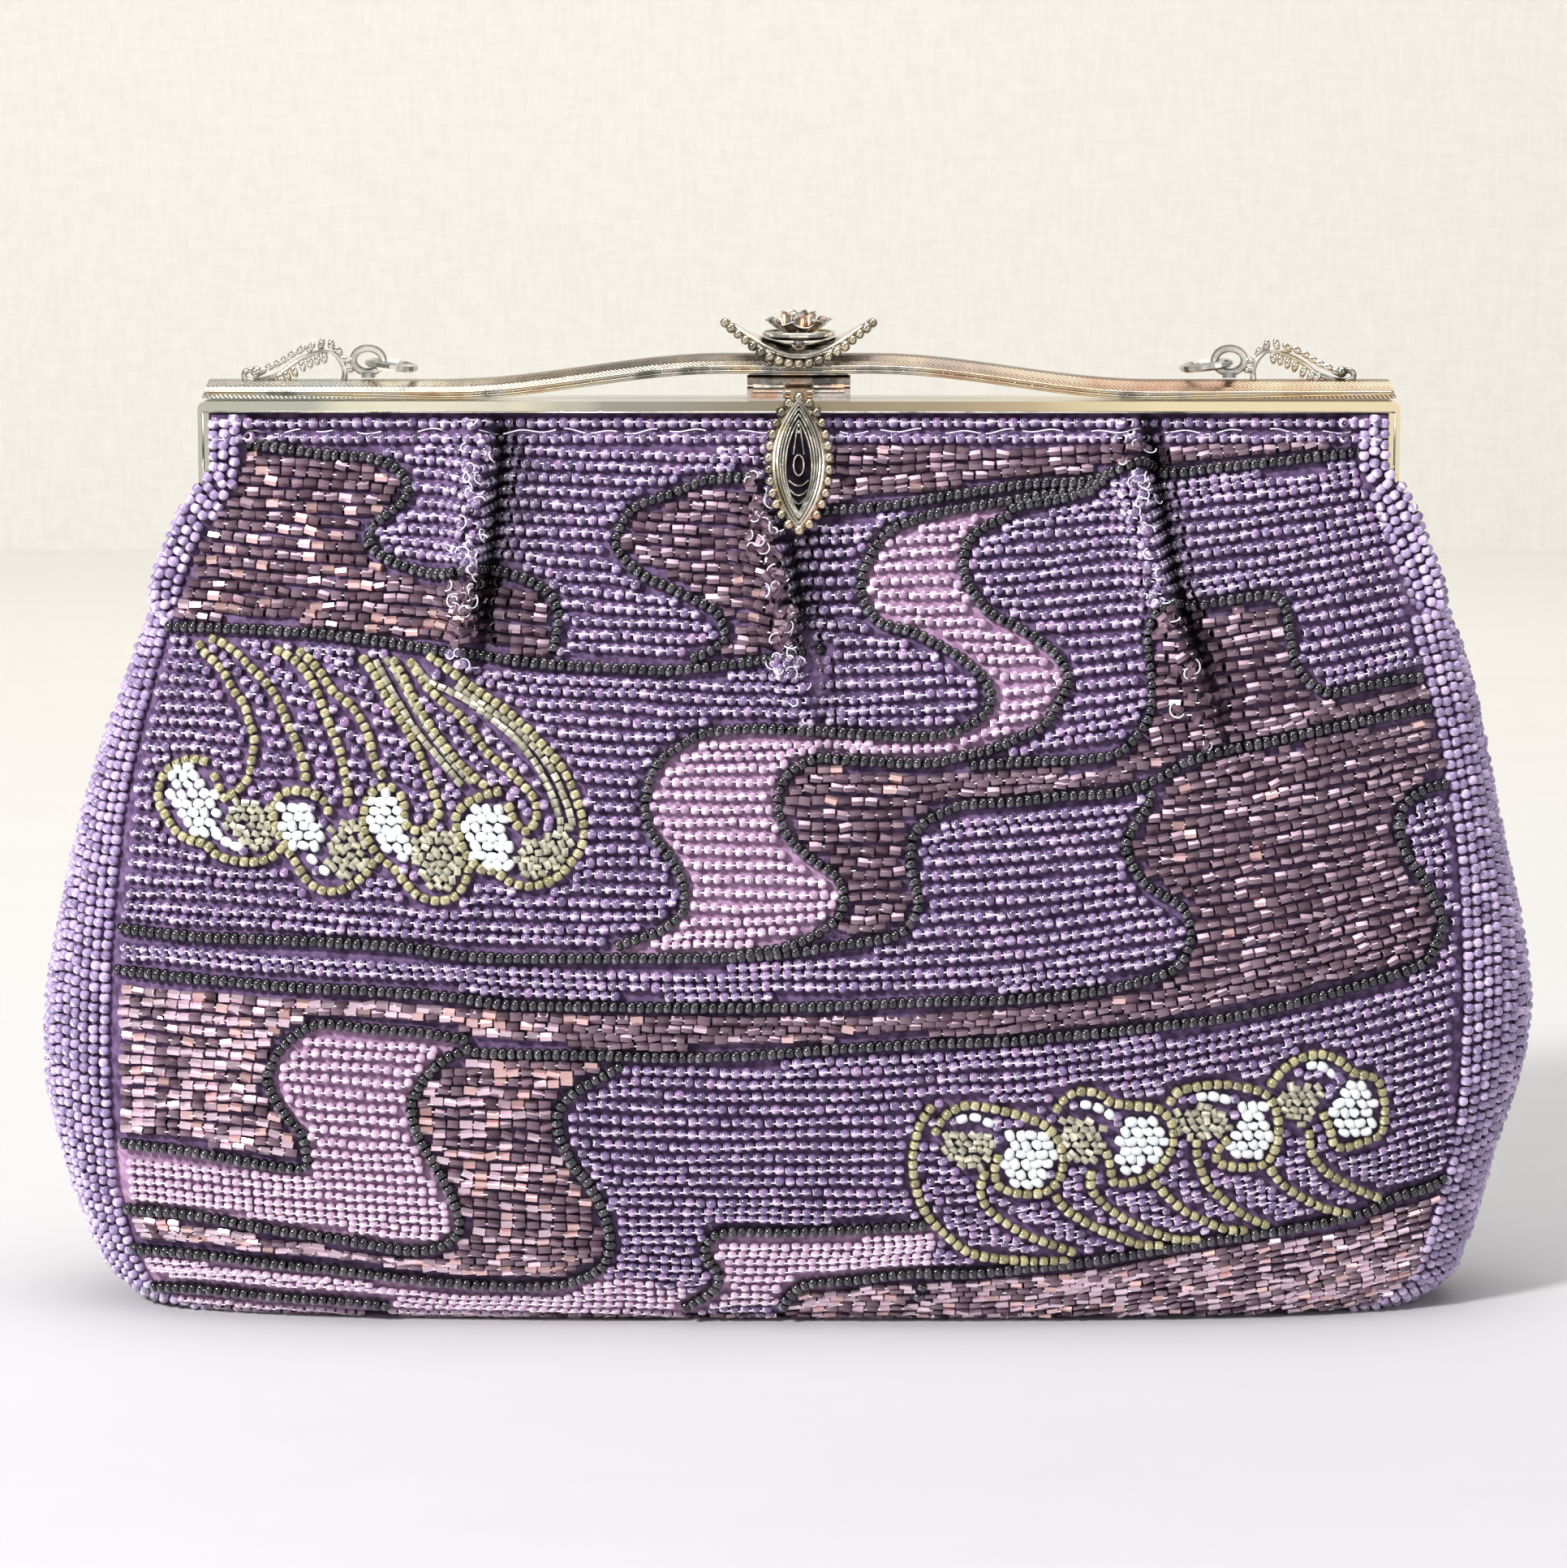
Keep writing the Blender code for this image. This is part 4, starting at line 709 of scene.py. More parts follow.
def kind_at(px, py):
    """Which field bead belongs at each place: 0 lavender, 1 two-cut, 2 mauve."""
    kind = np.zeros(len(px), int)
    for outline in CUT_REGIONS:
        kind[inside(outline, px, py)] = 1
    for outline in MAUVE_REGIONS:
        kind[inside(outline, px, py)] = 2
    return kind


FIELD = ("lavender", "two_cut", "mauve", "edge")
flash = []

# The panel's seams down the photo, as height and x
SEAM_LEFT = (
    (510, 293), (560, 290), (600, 280), (622, 266), (660, 243), (700, 228), (767, 206), (860, 181),
    (961, 158), (1066, 145), (1171, 139), (1248, 137), (1383, 141), (1484, 151), (1535, 164), (1577, 178),
    (1600, 196), (1625, 250),
)
SEAM_RIGHT = (
    (510, 1672), (560, 1676), (600, 1692), (640, 1708), (666, 1719), (793, 1748), (860, 1765), (961, 1786),
    (1087, 1799), (1145, 1803), (1297, 1798), (1405, 1797), (1457, 1780), (1527, 1765), (1570, 1752),
    (1600, 1715), (1625, 1640),
)


def seam_place(py, side):
    """The photo x of the panel's seam at each photo height."""
    down, across = np.array(SEAM_LEFT if side < 0 else SEAM_RIGHT, float).T
    return np.interp(py, down, across)


def flash_level(px, py):
    """0 for a plain two-cut bead, 1 for one with a painted salmon reflection, 2 for one with a painted lilac
    reflection; more of them low on the left, high on the left and low on the right.
    """
    low_left = np.clip((760 - px) / 200, 0, 1) * np.clip((py - 1150) / 60, 0, 1)
    high_left = np.clip((720 - px) / 200, 0, 1) * np.clip((860 - py) / 60, 0, 1)
    low_right = np.clip((px - 900) / 100, 0, 1) * np.clip((py - 1480) / 60, 0, 1)
    share = 0.03 + 0.66 * low_left + 0.15 * high_left + 0.46 * low_right
    lilac = rng.uniform(0, 1, len(px)) < 0.15 + 0.6 * low_left + 0.6 * low_right
    return (rng.uniform(0, 1, len(px)) < share) * (1 + lilac)


# The legs' inner edges in the photo, and the depth of the beads that fill the corners there
LEG_INSIDE = (259.0, 1706.0)
CORNER_Y = -7.4 * MM


def plane_point(px, py, y):
    """Where the camera's ray through a photo place meets the upright plane at y."""
    way = rays(np.asarray(px, float), np.asarray(py, float))
    return CAMERA_AT + way * (np.asarray(y, float) - CAMERA_AT[1])[..., None]


def by_corner(px, py):
    """True where edge beads lie beside a seam, by the frame's legs."""
    return (px < seam_place(py, -1) + 18) | (px > seam_place(py, 1) - 18)


def row_line(y0, edge_row):
    """Fine photo places along one row with their points, as far as the row reaches."""
    px = np.arange(120.0, 1830.0, 2.0)
    py = np.full(px.shape, float(y0)) if edge_row else row_places(y0, px)
    at, ok = drop(px, py, BEAD_INSET)
    if edge_row:
        ok = (px > LEG_INSIDE[0] - 4) & (px < LEG_INSIDE[1] + 4)
        corner = by_corner(px, py)
        at[corner] = plane_point(px, py, CORNER_Y)[corner]
    else:
        ok &= (px > seam_place(py, -1) + 5) & (px < seam_place(py, 1) - 5) & (py > 547)
        py = np.maximum(py, 554.5)
    return px[ok], py[ok], at[ok]


def row_spots(run, kinds):
    """Where the beads of a row sit along it, and their kinds; each kind has its own pitch."""
    walked = rng.uniform(0.2, 1.0) * MM
    spots, spot_kinds = [], []
    while walked < run[-1]:
        kind = kinds[np.searchsorted(run, walked)]
        pitch = KINDS[FIELD[kind]][2] * rng.normal(1, 0.02)
        middle = walked + pitch / 2
        if middle < run[-1]:
            spots.append(middle)
            spot_kinds.append(kinds[min(np.searchsorted(run, middle), len(kinds) - 1)])
        walked += pitch
    return np.array(spots), np.array(spot_kinds)


def lay_row(y0, edge_row=False, cut=False):
    """One horizontal row of field beads, its kinds changing with the pattern."""
    px, py, at = row_line(y0, edge_row)
    if len(px) < 4:
        return
    run = run_along(at[:, (0, 2)] if edge_row else at)
    kinds = np.full(len(px), FIELD.index("edge")) if edge_row else kind_at(px, py)
    spots, spot_kinds = row_spots(run, kinds)
    index = np.interp(spots, run, np.arange(len(run)))
    bx, by = sampled(index, np.arange(len(px)), np.stack((px, py), 1)).T
    keep = np.ones(len(bx), bool)
    if not edge_row:
        by, near = give_way(bx, by)
        keep = ~near & far_from_taken(bx, by, np.where(spot_kinds == 1, 10.5, 9.0))
    keep &= (spot_kinds == 1) == cut
    if not keep.any():
        return
    by = by + rng.normal(0, 0.6, len(by))
    centre, _ = drop(bx, by, BEAD_INSET)
    normal = facing(bx, by, BEAD_INSET)
    if edge_row:
        corner = by_corner(bx, by)
        centre[corner] = plane_point(bx, by, CORNER_Y)[corner]
        normal[corner] = (0, -1, 0)
    along = directions(at, index)
    follows = np.concatenate((keep[1:] & (spot_kinds[1:] == spot_kinds[:-1]), [False]))
    flat = np.interp(y0, (1250, 1400, 1550, 1620), (1.0, 0.92, 0.8, 0.7))
    for number, name in enumerate(FIELD):
        chosen = keep & (spot_kinds == number)
        if chosen.any():
            size = (KINDS[name][0], KINDS[name][1] * flat)
            front[name].add(centre[chosen], along[chosen], normal[chosen], size, follows[chosen])
            if name == "two_cut":
                flash.append(flash_level(bx[chosen], by[chosen]))


def lay_field():
    """Both kinds of field rows, from the frame down to the base."""
    lay_row(521.0, True)
    lay_row(540.0, True)
    for cut in (False, True):
        y0 = 556.0
        while y0 < 1700:
            lay_row(y0, cut=cut)
            y0 += row_pitch(y0, cut)


lay_field()
thread_loops = []


def lay_jumble(tuck, count):
    """Beads that lie loose where a tuck crowds them, with loops of thread among them."""
    line, width = np.array(tuck[0], float), tuck[1]
    py = rng.uniform(line[0, 1] + 10, line[-1, 1] - 60, count)
    py = py[rng.uniform(0, 1, count) < tuck_at(tuck, 0, py)[1]]
    px = np.interp(py, line[:, 1], line[:, 0]) - 0.4 * width + rng.normal(0, 0.36 * width, len(py))
    centre, _ = drop(px, py, BEAD_INSET)
    normal = facing(px, py, BEAD_INSET)
    centre = centre + normal * rng.uniform(0.1, 0.5, (len(py), 1)) * MM
    turn = rng.uniform(0, math.tau, len(py))
    along = np.stack((np.cos(turn), rng.uniform(-0.7, 0.7, len(py)), np.sin(turn)), 1)
    kinds = kind_at(px, py)
    for number, name in enumerate(FIELD[:3]):
        chosen = kinds == number
        if chosen.any():
            front[name].add(centre[chosen], along[chosen], normal[chosen], KINDS[name][:2])
    for k in range(0, len(py), 2):
        side = np.cross(along[k], normal[k])
        size = rng.uniform(0.5, 1.1) * MM
        angle = np.linspace(0, rng.uniform(2.2, 4.0), 12)[:, None]
        arc = np.cos(angle) * along[k] + np.sin(angle) * side
        thread_loops.append(centre[k] + normal[k] * 0.8 * MM + arc * size)


def lay_wavy_thread():
    """The white thread that wanders between the two edge rows."""
    px = np.arange(300.0, 1690.0, 5.0)
    py = 531.5 + 2.2 * np.sin(px / 8.7) + 1.5 * np.sin(px / 23.0)
    at, ok = drop(px, py, BEAD_INSET - 0.25 * MM)
    at = at[ok]
    start = 0
    while start < len(at) - 8:
        run = int(rng.uniform(5, 22))
        thread_loops.append(at[start : start + run])
        start += run + int(rng.uniform(1, 9))


lay_wavy_thread()
for tuck, count in zip(TUCKS, (80, 90, 56)):
    lay_jumble(tuck, count)


# Bead shapes: places along the thread and radii, as shares of length and radius, then sides,
# facets, the painted highlight of the left and the right rim, and the thread's streak between them
ROUND = ((-0.46, 0.52), (-0.34, 0.84), (-0.12, 1.0), (0.12, 1.0), (0.34, 0.84), (0.46, 0.52))
DRUM = ((-0.48, 0.62), (-0.38, 0.90), (-0.14, 1.0), (0.14, 1.0), (0.38, 0.90), (0.48, 0.62))
CUT = ((-0.5, 0.80), (-0.45, 0.98), (0.45, 0.98), (0.5, 0.80))
SHAPES = {
    "round": (ROUND, 10, False, 0.85, 0.35, 0.7),
    "drum": (DRUM, 10, False, 0.0, 0.0, 0.0),
    "cut": (CUT, 6, True, 0.8, 0.4, 0.3),
}
SHAPE_OF = {
    "edge": "round", "lavender": "round", "mauve": "round", "two_cut": "cut", "hematite": "drum",
    "gold": "drum", "foam": "round", "clear": "cut",
}


def unit(vectors):
    return vectors / (np.linalg.norm(vectors, axis=-1, keepdims=True) + 1e-15)


def mark(mesh, label, values):
    """Store one number for each point, for a material to read."""
    layer = mesh.attributes.new(label, "FLOAT", "POINT")
    layer.data.foreach_set("value", np.asarray(values, np.float32))


def quads(rows, count, closed=True):
    """Faces between rows of count points each; closed joins the ends of every row."""
    return [
        (j * count + k, j * count + (k + 1) % count, (j + 1) * count + (k + 1) % count, (j + 1) * count + k)
        for j in range(rows - 1)
        for k in range(count if closed else count - 1)
    ]


def repeated(faces, number, step):
    """The same faces for many shapes of step points, one after another."""
    return (np.array(faces)[None] + np.arange(number)[:, None, None] * step).reshape(-1, 4)


def circles(first, second, sides):
    """Unit circles, each in the plane of its two cross directions."""
    angle = np.arange(sides) * math.tau / sides
    return np.cos(angle)[None, :, None] * first[:, None] + np.sin(angle)[None, :, None] * second[:, None]


def linked(name, data):
    made = bpy.data.objects.new(name, data)
    bpy.context.scene.collection.objects.link(made)
    return made


def bead_points(beads, shape):
    """Points of many beads, ring by ring, and the painted highlight and thread streak at each."""
    centre, along, out, size, _ = beads
    profile, sides, faceted, near_rim, far_rim, streak_share = SHAPES[shape]
    count = len(centre)
    along = unit(unit(along) + rng.normal(0, 0.10, (count, 3)))
    out = unit(out - along * (out * along).sum(1, keepdims=True))
    side = np.cross(along, out)
    spin = (rng.uniform(0, math.tau, count) if faceted else rng.normal(0, 0.12, count))[:, None]
    ring = circles(out * np.cos(spin) + side * np.sin(spin), side * np.cos(spin) - out * np.sin(spin), sides)
    grown = rng.normal(1, 0.05, (count, 1))
    stretched = rng.normal(1, 0.05, (count, 1))
    # the thread shows through the glass as a pale streak
    facing_out = np.clip(np.einsum("csk,ck->cs", ring, out), 0, 1)
    streak = facing_out**14 * rng.uniform(0, streak_share, (count, 1))
    # painted light: each bead is lit low on its left in its colour, as light gathered inside the glass from a
    # fixed direction would show
    lit = unit(np.array((-0.62, math.copysign(0.62, centre[:, 1].mean()), -0.42)))
    sparkle = rng.uniform(0.45, 1.0, (count, 1))
    points, highlight_and_streak = [], []
    for way, wide in profile:
        middle = centre + along * size[:, :1] * way * stretched
        points.append(middle[:, None] + ring * (wide * size[:, 1:] / 2 * grown)[:, None])
        gathered = np.clip(unit(ring + along[:, None] * way * 1.5) @ lit, 0, 1) ** 4 * sparkle
        # painted highlights on the rims of the holes, brighter at the left end
        rim = (near_rim if way < 0 else far_rim) if abs(way) > 0.44 else 0.0
        highlight_and_streak.append(np.maximum(np.maximum(gathered, streak), rim))
    return np.stack(points, 1).reshape(-1, 3), np.stack(highlight_and_streak, 1).reshape(-1)


def bead_map(mesh, count, rows, sides):
    """Give each bead its own cell of the map."""
    cells = math.ceil(math.sqrt(count))
    u_of, v_of = [], []
    for j in range(rows):
        for k in range(sides):
            u_of += (k, k + 1, k + 1, k)
            v_of += (j, j, j + 1, j + 1)
    u_of = 0.05 + 0.9 * np.array(u_of) / sides
    v_of = 0.05 + 0.9 * np.array(v_of) / rows
    uv = np.empty((count, len(u_of), 2), np.float32)
    uv[:, :, 0] = ((np.arange(count) % cells)[:, None] + u_of[None]) / cells
    uv[:, :, 1] = ((np.arange(count) // cells)[:, None] + v_of[None]) / cells
    mesh.uv_layers.new(name="OFBake").data.foreach_set("uv", uv.ravel())


def bead_mesh(name, beads, shape, material, tints=None, shade=None):
    """One mesh of many beads, with a tint and a painted shade for each bead and a painted highlight and
    thread streak for each point.
    """
    points, highlight_and_streak = bead_points(beads, shape)
    profile, sides, faceted = SHAPES[shape][:3]
    count, per = len(beads[0]), len(profile) * sides
    faces = repeated(quads(len(profile), sides), count, per)
    mesh = bpy.data.meshes.new(name)
    mesh.vertices.add(len(points))
    mesh.vertices.foreach_set("co", points.astype(np.float32).ravel())
    mesh.loops.add(faces.size)
    mesh.loops.foreach_set("vertex_index", faces.astype(np.int32).ravel())
    mesh.polygons.add(len(faces))
    mesh.polygons.foreach_set("loop_start", np.arange(0, faces.size, 4, dtype=np.int32))
    mesh.polygons.foreach_set("loop_total", np.full(len(faces), 4, np.int32))
    mesh.polygons.foreach_set("use_smooth", np.full(len(faces), not faceted))
    mesh.update(calc_edges=True)
    mark(mesh, "tint", np.repeat(rng.uniform(0, 1, count) if tints is None else tints, per))
    mark(mesh, "highlight_and_streak", highlight_and_streak)
    mark(mesh, "shade", np.repeat(np.ones(count) if shade is None else shade, per))
    bead_map(mesh, count, len(profile) - 1, sides)
    mesh.materials.append(material)
    return linked(name, mesh)


def plain_mesh(name, points, faces, material, smooth=True):
    mesh = bpy.data.meshes.new(name)
    mesh.from_pydata([tuple(p) for p in points], [], [tuple(int(i) for i in f) for f in faces])
    mesh.polygons.foreach_set("use_smooth", np.full(len(mesh.polygons), smooth))
    mesh.update()
    mesh.materials.append(material)
    return linked(name, mesh)


def threads_mesh(name, starts, ends, radius, sides=5):
    """Many short straight threads in one mesh."""
    along = unit(ends - starts)
    first = unit(np.cross(along, np.where(np.abs(along[:, 1:2]) < 0.8, (0.0, 1.0, 0.0), (1.0, 0.0, 0.0))))
    ring = circles(first, np.cross(along, first), sides) * radius
    points = np.stack((starts[:, None] + ring, ends[:, None] + ring), 1).reshape(-1, 3)
    faces = repeated(quads(2, sides), len(starts), 2 * sides)
    return plain_mesh(name, points, faces, MATERIALS["thread"])


TO_REAR = np.array((1.0, -1.0, 1.0))


def mirrored(beads):
    centre, along, out, size, link = beads
    return centre * TO_REAR, along * TO_REAR, out * TO_REAR, size, link


def split(beads, limit):
    """Cut a list of beads into parts of at most limit."""
    parts = math.ceil(len(beads[0]) / limit)
    order = np.array_split(np.arange(len(beads[0])), parts)
    return [tuple(part[chosen] for part in beads) for chosen in order]


GUSSET_COLUMN = 1.92 * MM
GUSSET_COLUMNS = 24
# Above this height the gusset's beads give way to the ones round each leg's lower end
GUSSET_TOP = 109.2 * MM


def gusset_beads():
    """Upright columns of beads round both sides, front half only."""
    length, across, pitch = KINDS["lavender"]
    found = Beads()
    heights = np.arange(0.4, 139.2, 0.5) * MM
    for side in (-1, 1):
        wide = half_width(np.full(heights.shape, float(side)), heights) - BEAD_INSET
        seam = np.minimum(seam_width(side, heights), wide - 0.4 * MM)
        deep = read(FINE_SECTION, heights, 3) - BEAD_INSET
        square = read(FINE_SECTION, heights, 4) / MM
        start = (seam / wide) ** square
        level = start[:, None] + (1 - start)[:, None] * (1 - (1 - np.linspace(0, 1, 60)[None]) ** 2.2)
        x = wide[:, None] * level ** (1 / square[:, None])
        y = -deep[:, None] * (1 - level) ** (1 / square[:, None])
        steps = np.cumsum(np.hypot(np.diff(x, axis=1), np.diff(y, axis=1)), axis=1)
        run = np.concatenate((np.zeros((len(heights), 1)), steps), axis=1)
        for k in range(GUSSET_COLUMNS):
            place = (k + 0.35) * GUSSET_COLUMN
            held = run[:, -1] > place
            if held.sum() < 6:
                continue
            cx = np.array([np.interp(place, *row) for row in zip(run, x)])
            cy = np.array([np.interp(place, *row) for row in zip(run, y)])
            line = np.stack((side * cx, cy, heights), 1)[held]
            spaced, index = respace(line, pitch * 0.98)
            out = np.stack((spaced[:, 0], spaced[:, 1] * 3.0, np.zeros(len(spaced))), 1)
            keep = spaced[:, 2] <= GUSSET_TOP
            link = np.concatenate((keep[1:], [False]))
            jitter = rng.normal(0, 0.08 * MM, spaced.shape)
            along = directions(line, index)
            found.add((spaced + jitter)[keep], along[keep], unit(out)[keep], (length, across), link[keep])
    return found.arrays()


class Nodes:
    """Short ways to add linked nodes to a tree."""

    def __init__(self, tree):
        self.tree = tree

    def feed(self, node, inputs):
        """Give each input a value, or link it to another node's output."""
        for label, value in inputs.items():
            if isinstance(value, bpy.types.NodeSocket):
                self.tree.links.new(value, node.inputs[label])
            else:
                node.inputs[label].default_value = value

    def add(self, kind, output, inputs, **settings):
        """Add a node and give the output that is asked for."""
        node = self.tree.nodes.new("ShaderNode" + kind)
        for label, value in settings.items():
            setattr(node, label, value)
        self.feed(node, inputs)
        return node.outputs[output]

    def place(self, output="Object"):
        return self.add("TexCoord", output, {})

    def marked(self, label, output="Fac"):
        """A number that mark has stored in the mesh."""
        return self.add("Attribute", output, {}, attribute_name=label)

    def noise(self, place, scale, detail=2, roughness=0.5):
        inputs = {"Vector": place, "Scale": scale, "Detail": detail, "Roughness": roughness}
        return self.add("TexNoise", "Fac", inputs)

    def ramp(self, factor, stops):
        """Colours between places from 0 to 1."""
        node = self.tree.nodes.new("ShaderNodeValToRGB")
        elements = node.color_ramp.elements
        while len(elements) < len(stops):
            elements.new(0.5)
        for element, (place, colour) in zip(elements, stops):
            element.position = place
            element.color = (*colour, 1)
        self.feed(node, {"Fac": factor})
        return node.outputs["Color"]

    def mixed(self, first, second, factor=1.0, blend="MULTIPLY"):
        inputs = {"Factor": factor, "A": first, "B": second}
        return self.add("Mix", "Result", inputs, data_type="RGBA", blend_type=blend)

    def maths(self, operation, *values):
        return self.add("Math", "Value", dict(enumerate(values)), operation=operation)

    def span(self, value, low, high, top=1.0, **settings):
        """A value between low and high brought to between 0 and top."""
        inputs = {"Value": value, "From Min": low, "From Max": high, "To Max": top}
        return self.add("MapRange", "Result", inputs, **settings)

    def bump(self, height, strength, distance):
        return self.add("Bump", "Normal", {"Height": height, "Strength": strength, "Distance": distance})


class Material(Nodes):
    def __init__(self, name):
        self.made = bpy.data.materials.new(name)
        self.made.use_nodes = True
        super().__init__(self.made.node_tree)

    def finished(self, inputs):
        self.feed(self.tree.nodes["Principled BSDF"], inputs)
        return self.made


def srgb(*values):
    return tuple((v / 255 / 12.92) if v <= 10 else ((v / 255 + 0.055) / 1.055) ** 2.4 for v in values)


def bead_material(name, stops, highlight_and_streak_colour, highlight_and_streak_share, roughness, metallic=0.0, coat=1.0):
    """Glass that reads the tint, the painted highlight and thread streak, and the painted shade marked in its
    beads.
    """
    nodes = Material(name)
    tint = nodes.ramp(nodes.marked("tint"), [(place, srgb(*colour)) for place, *colour in stops])
    highlight_and_streak = nodes.span(nodes.marked("highlight_and_streak"), 0.12, 0.85, highlight_and_streak_share, interpolation_type="SMOOTHSTEP")
    glass = nodes.mixed(tint, (*srgb(*highlight_and_streak_colour), 1), highlight_and_streak, "MIX")
    return nodes.finished(
        {
            "Base Color": nodes.mixed(glass, nodes.marked("shade", "Color")),
            "Coat Weight": nodes.maths("MULTIPLY", nodes.marked("shade"), coat),
            "Roughness": roughness, "Metallic": metallic, "Coat Roughness": 0.06, "Specular IOR Level": 0.6,
        }
    )


def cloth_material():
    """Violet cloth, paler under the mauve beads, with painted shade in the folds."""
    nodes = Material("purple_cloth")
    noise = nodes.noise(nodes.place(), 700, 4)
    violet = nodes.ramp(noise, ((0.4, srgb(70, 50, 84)), (0.6, srgb(112, 88, 128))))
    pale = nodes.ramp(noise, ((0.4, srgb(150, 114, 150)), (0.6, srgb(184, 150, 184))))
    cloth = nodes.mixed(violet, pale, nodes.marked("pale"), "MIX")
    colours = nodes.mixed(cloth, nodes.marked("shade", "Color"))
    return nodes.finished({"Base Color": colours, "Roughness": 0.9})


def cloudy_material(name, first, second, scale, roughness, bump=0.0, specular=0.5):
    """A surface whose colour drifts between two tints."""
    nodes = Material(name)
    noise = nodes.noise(nodes.place(), scale, 4)
    colours = nodes.ramp(noise, ((0.4, first), (0.6, second)))
    inputs = {"Base Color": colours, "Roughness": roughness, "Specular IOR Level": specular}
    if bump:
        inputs["Normal"] = nodes.bump(noise, bump, 0.0002)
    return nodes.finished(inputs)


def metal_material(name, stops, scale, roughness):
    """Worn metal whose colour drifts between several tints."""
    nodes = Material(name)
    colours = nodes.ramp(nodes.noise(nodes.place(), scale, 5, 0.6), stops)
    return nodes.finished({"Base Color": colours, "Metallic": 1.0, "Roughness": roughness})


HALF_FRAME = 0.092


def plating(nodes, place, stops, drift, *noise):
    """Colours from the frame's left end to its right, each edge wandering by drift to either side."""
    share = nodes.span(nodes.add("SeparateXYZ", "X", {"Vector": place}), -HALF_FRAME, HALF_FRAME)
    wander = nodes.maths("MULTIPLY_ADD", nodes.noise(place, *noise), 2 * drift, -drift)
    return nodes.ramp(nodes.maths("ADD", share, wander), stops)


def bar_material():
    """The frame's plating: olive at its left corner, cream and grey along it, gold at its right."""
    nodes = Material("plated_bar")
    stops = (
        (0.0, (0.56, 0.57, 0.48)), (0.10, (0.56, 0.57, 0.49)), (0.17, (0.92, 0.89, 0.72)),
        (0.27, (0.84, 0.80, 0.66)), (0.33, (0.42, 0.41, 0.36)), (0.52, (0.33, 0.28, 0.20)),
        (0.68, (0.60, 0.50, 0.33)), (0.80, (0.95, 0.83, 0.56)), (1.0, (0.92, 0.80, 0.55)),
    )
    colours = plating(nodes, nodes.place(), stops, 0.08, 60)
    return nodes.finished({"Base Color": colours, "Metallic": 1.0, "Roughness": 0.16})


def arch_material():
    """The arch's plating: bluish silver at its left end, then cream and copper, hatched all along."""
    nodes = Material("arch_plating")
    place = nodes.place()
    stops = (
        (0.0, (0.56, 0.57, 0.55)), (0.16, (0.76, 0.69, 0.55)), (0.3, (0.42, 0.35, 0.26)),
        (0.42, (0.27, 0.24, 0.20)), (0.55, (0.32, 0.26, 0.22)), (0.68, (0.48, 0.38, 0.28)),
        (0.8, (0.38, 0.24, 0.17)), (1.0, (0.54, 0.43, 0.31)),
    )
    colours = plating(nodes, place, stops, 0.3, 90, 4)
    wave_inputs = {"Vector": place, "Scale": 900, "Distortion": 0.8}
    wave = nodes.add("TexWave", "Fac", wave_inputs, wave_type="BANDS", bands_direction="DIAGONAL")
    hatch = nodes.ramp(wave, ((0.2, (0.45, 0.43, 0.41)), (0.7, (1, 1, 1))))
    look = {"Base Color": nodes.mixed(colours, hatch, 0.8), "Normal": nodes.bump(wave, 0.6, 0.0001)}
    return nodes.finished({**look, "Metallic": 1.0, "Roughness": 0.22})


